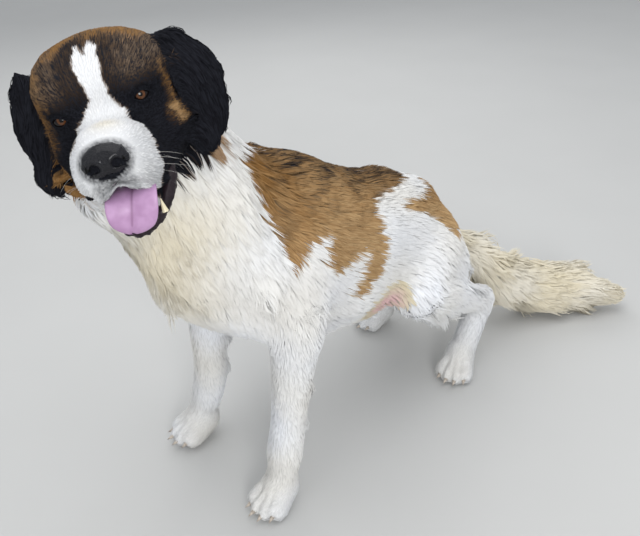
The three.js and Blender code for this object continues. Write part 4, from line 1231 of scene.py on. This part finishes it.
def loft(name, route, widths, depths, groove=0.0, curl=0.0, sides=24, rings=36):
    """A flattened tube along places of the head's own frame, with a groove down its upper side."""
    at, fine = np.linspace(0, 1, len(route)), np.linspace(0, 1, rings)
    spine = np.stack([np.interp(fine, at, column) for column in np.array(route).T], 1)
    wide, deep = np.interp(fine, at, widths), np.interp(fine, at, depths)
    for values in (spine, wide, deep):
        for _ in range(6):
            values[1:-1] += 0.25 * (values[:-2] + values[2:] - 2 * values[1:-1])
    along = unit(np.gradient(spine, axis=0))
    across = unit(np.array((1, 0, 0)) - along * along[:, :1])
    above = np.cross(along, across)
    angle = np.linspace(0, 2 * math.pi, sides, endpoint=False)
    reach = np.cos(angle)[None, :] * wide[:, None]
    height = np.sin(angle)[None, :] * deep[:, None] + curl * (reach / wide.max()) ** 2
    height = height - groove * hump(reach, 0.003) * (np.sin(angle) > 0)[None, :]
    points = spine[:, None] + across[:, None] * reach[:, :, None] + above[:, None] * height[:, :, None]
    faces = [list(range(sides)), [(rings - 1) * sides + k for k in reversed(range(sides))]]
    for ring in range(rings - 1):
        for k in range(sides):
            low, high, step_on = ring * sides, (ring + 1) * sides, (k + 1) % sides
            faces.append([low + k, high + k, high + step_on, low + step_on])
    mesh = bpy.data.meshes.new(name)
    mesh.from_pydata(from_head(points.reshape(-1, 3)).tolist(), [], faces)
    piece = bpy.data.objects.new(name, mesh)
    bpy.context.collection.objects.link(piece)
    off_middle = np.where(np.sin(angle) > 0, np.abs(np.cos(angle)), 1) + 0.3 * step(fine, 0.72, 0.92)[:, None]
    give(piece, "off_middle", off_middle.ravel())
    return piece


TONGUE_ROUTE = [
    (0.012, -0.030, -0.092), (0.012, -0.060, -0.088), (0.010, -0.084, -0.086), (0.007, -0.096, -0.093),
    (0.002, -0.100, -0.106), (-0.003, -0.100, -0.118), (-0.006, -0.099, -0.126), (-0.008, -0.098, -0.131),
]
TONGUE_WIDTHS = (0.020, 0.026, 0.030, 0.031, 0.030, 0.026, 0.017, 0.004)
TONGUE_DEPTHS = (0.005, 0.005, 0.005, 0.005, 0.005, 0.0045, 0.004, 0.001)
tongue = loft("tongue_flesh", TONGUE_ROUTE, TONGUE_WIDTHS, TONGUE_DEPTHS, groove=0.0028, curl=0.004)
stand_for(tongue, "tongue", flesh)

wet_black = Finish("lip_skin", Roughness=0.5, Specular_IOR_Level=0.15, Coat_Weight=0.12, Coat_Roughness=0.12)
wet_black.set("Base Color", wet_black.mottle(90, (0.006, 0.005, 0.006), (0.028, 0.017, 0.022)))
wet_black.bump(wet_black.noise(300, 3), 0.0012, 0.8)
LIP_ROUTE = [
    (0.054, -0.028, -0.084), (0.053, -0.048, -0.092), (0.047, -0.062, -0.103), (0.038, -0.074, -0.115),
    (0.026, -0.083, -0.125), (0.013, -0.090, -0.132), (0.000, -0.093, -0.134), (-0.012, -0.092, -0.129),
    (-0.021, -0.089, -0.118),
]
LIP_RADII = (0.004, 0.0075, 0.0085, 0.0080, 0.0075, 0.0068, 0.0060, 0.0050, 0.003)
lip = loft("lower_lip", LIP_ROUTE, LIP_RADII, LIP_RADII, sides=20, rings=90)
points, normals = vertices_of(lip), normals_of(lip)
wrinkles = 0.0011 * ripple(points, 0.011, 12) + 0.0005 * ripple(points, 0.004, 13)
set_vertices(lip, points + normals * wrinkles[:, None])
dress(lip, wet_black)
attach(lip, "root")
smooth_shade(lip)

ivory = Finish("tooth_ivory", Roughness=0.25)
ivory.set("Base Color", ivory.mottle(120, (0.66, 0.58, 0.38), (0.76, 0.70, 0.52)))
TOOTH_VOXEL = 0.0008
tooth = shell_of("tooth", ["canine_left"], TOOTH_VOXEL)
set_vertices(tooth, Web(tooth).smooth(vertices_of(tooth), 5))
stand_for(tooth, "canine_left", ivory)


# The claws: short curved horn cones, one at the tip of each toe, on each paw's own place and turn.
# They are modelled alike and joined into one piece.
TOE_SLOTS = (-1.45, -0.5, 0.5, 1.45)
CLAW_RADIUS, CLAW_LENGTH = 0.0046, 0.0145
horn = Finish("claw_horn", Roughness=0.35)
horn.set("Base Color", horn.mottle(90, (0.36, 0.30, 0.25), (0.58, 0.52, 0.44)))
claws = []
for x, y, z, turn in PAWS.values():
    for toe in TOE_SLOTS:
        bpy.ops.mesh.primitive_cone_add(vertices=12, radius1=CLAW_RADIUS, depth=CLAW_LENGTH)
        claw = bpy.context.object
        points = vertices_of(claw)
        points[:, 1] += 0.10 * (points[:, 2] + 0.008) ** 2 / 0.016
        points = points @ np.array(turned("X", 108)).T @ np.array(turned("Z", toe * 9)).T
        points += (toe * 0.0197, -0.0324 + toe**2 * 0.006 - 0.028, -0.0165)
        set_vertices(claw, points @ np.array(turned("Z", turn)).T + (x, y, z) + np.array(ORIGIN))
        claws.append(claw)
select_only(*claws)
bpy.ops.object.join()
claws = bpy.context.object
claws.name = "claws"
dress(claws, horn)
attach(claws, "root")
smooth_shade(claws)


# The whiskers: stiff pale hairs on both sides of the muzzle, which droop a little. They are blades of
# the coat's own kind, rooted in the flews.
draw = np.random.default_rng(51)
WHISKERS = 5
WHISKER_WIDTH, WHISKER_DROOP = 0.0004, 0.010
starts, ends = [], []
for side in (1, -1):
    at = np.stack((side * draw.uniform(0.040, 0.050, WHISKERS), draw.uniform(-0.096, -0.070, WHISKERS),
                   draw.uniform(-0.078, -0.046, WHISKERS)), 1)
    toward = unit(np.stack((side * draw.uniform(0.9, 1.1, WHISKERS), draw.uniform(0.1, 0.5, WHISKERS),
                            draw.uniform(-0.4, 0.0, WHISKERS)), 1))
    starts.append(at)
    ends.append(at + toward * draw.uniform(0.022, 0.045, WHISKERS)[:, None])
starts, ends = np.concatenate(starts), np.concatenate(ends)
share = np.linspace(0, 1, 5)[:, None, None]
droop = np.array((0, 0, -WHISKER_DROOP)) * share**2
whisker_lines = from_head(starts + share * (ends - starts) + droop)
upward = np.broadcast_to(head_axes[:, 2], whisker_lines.shape)
pale = Finish("whisker", Roughness=0.4)
pale.set("Base Color", pale.blend(pale.attribute("strand", 1), (0.62, 0.60, 0.56), (0.80, 0.79, 0.76)))
widths = np.full(len(starts), WHISKER_WIDTH)
whiskers = blades("whiskers", whisker_lines, upward, widths, draw.uniform(0, 1, len(starts)),
                  np.zeros((len(starts), 3)), unwrap_at(whisker_lines[0]))
dress(whiskers, pale)
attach(whiskers, "root")

size = {"cad": cad_box, "visual": [list(corner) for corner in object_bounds()]}
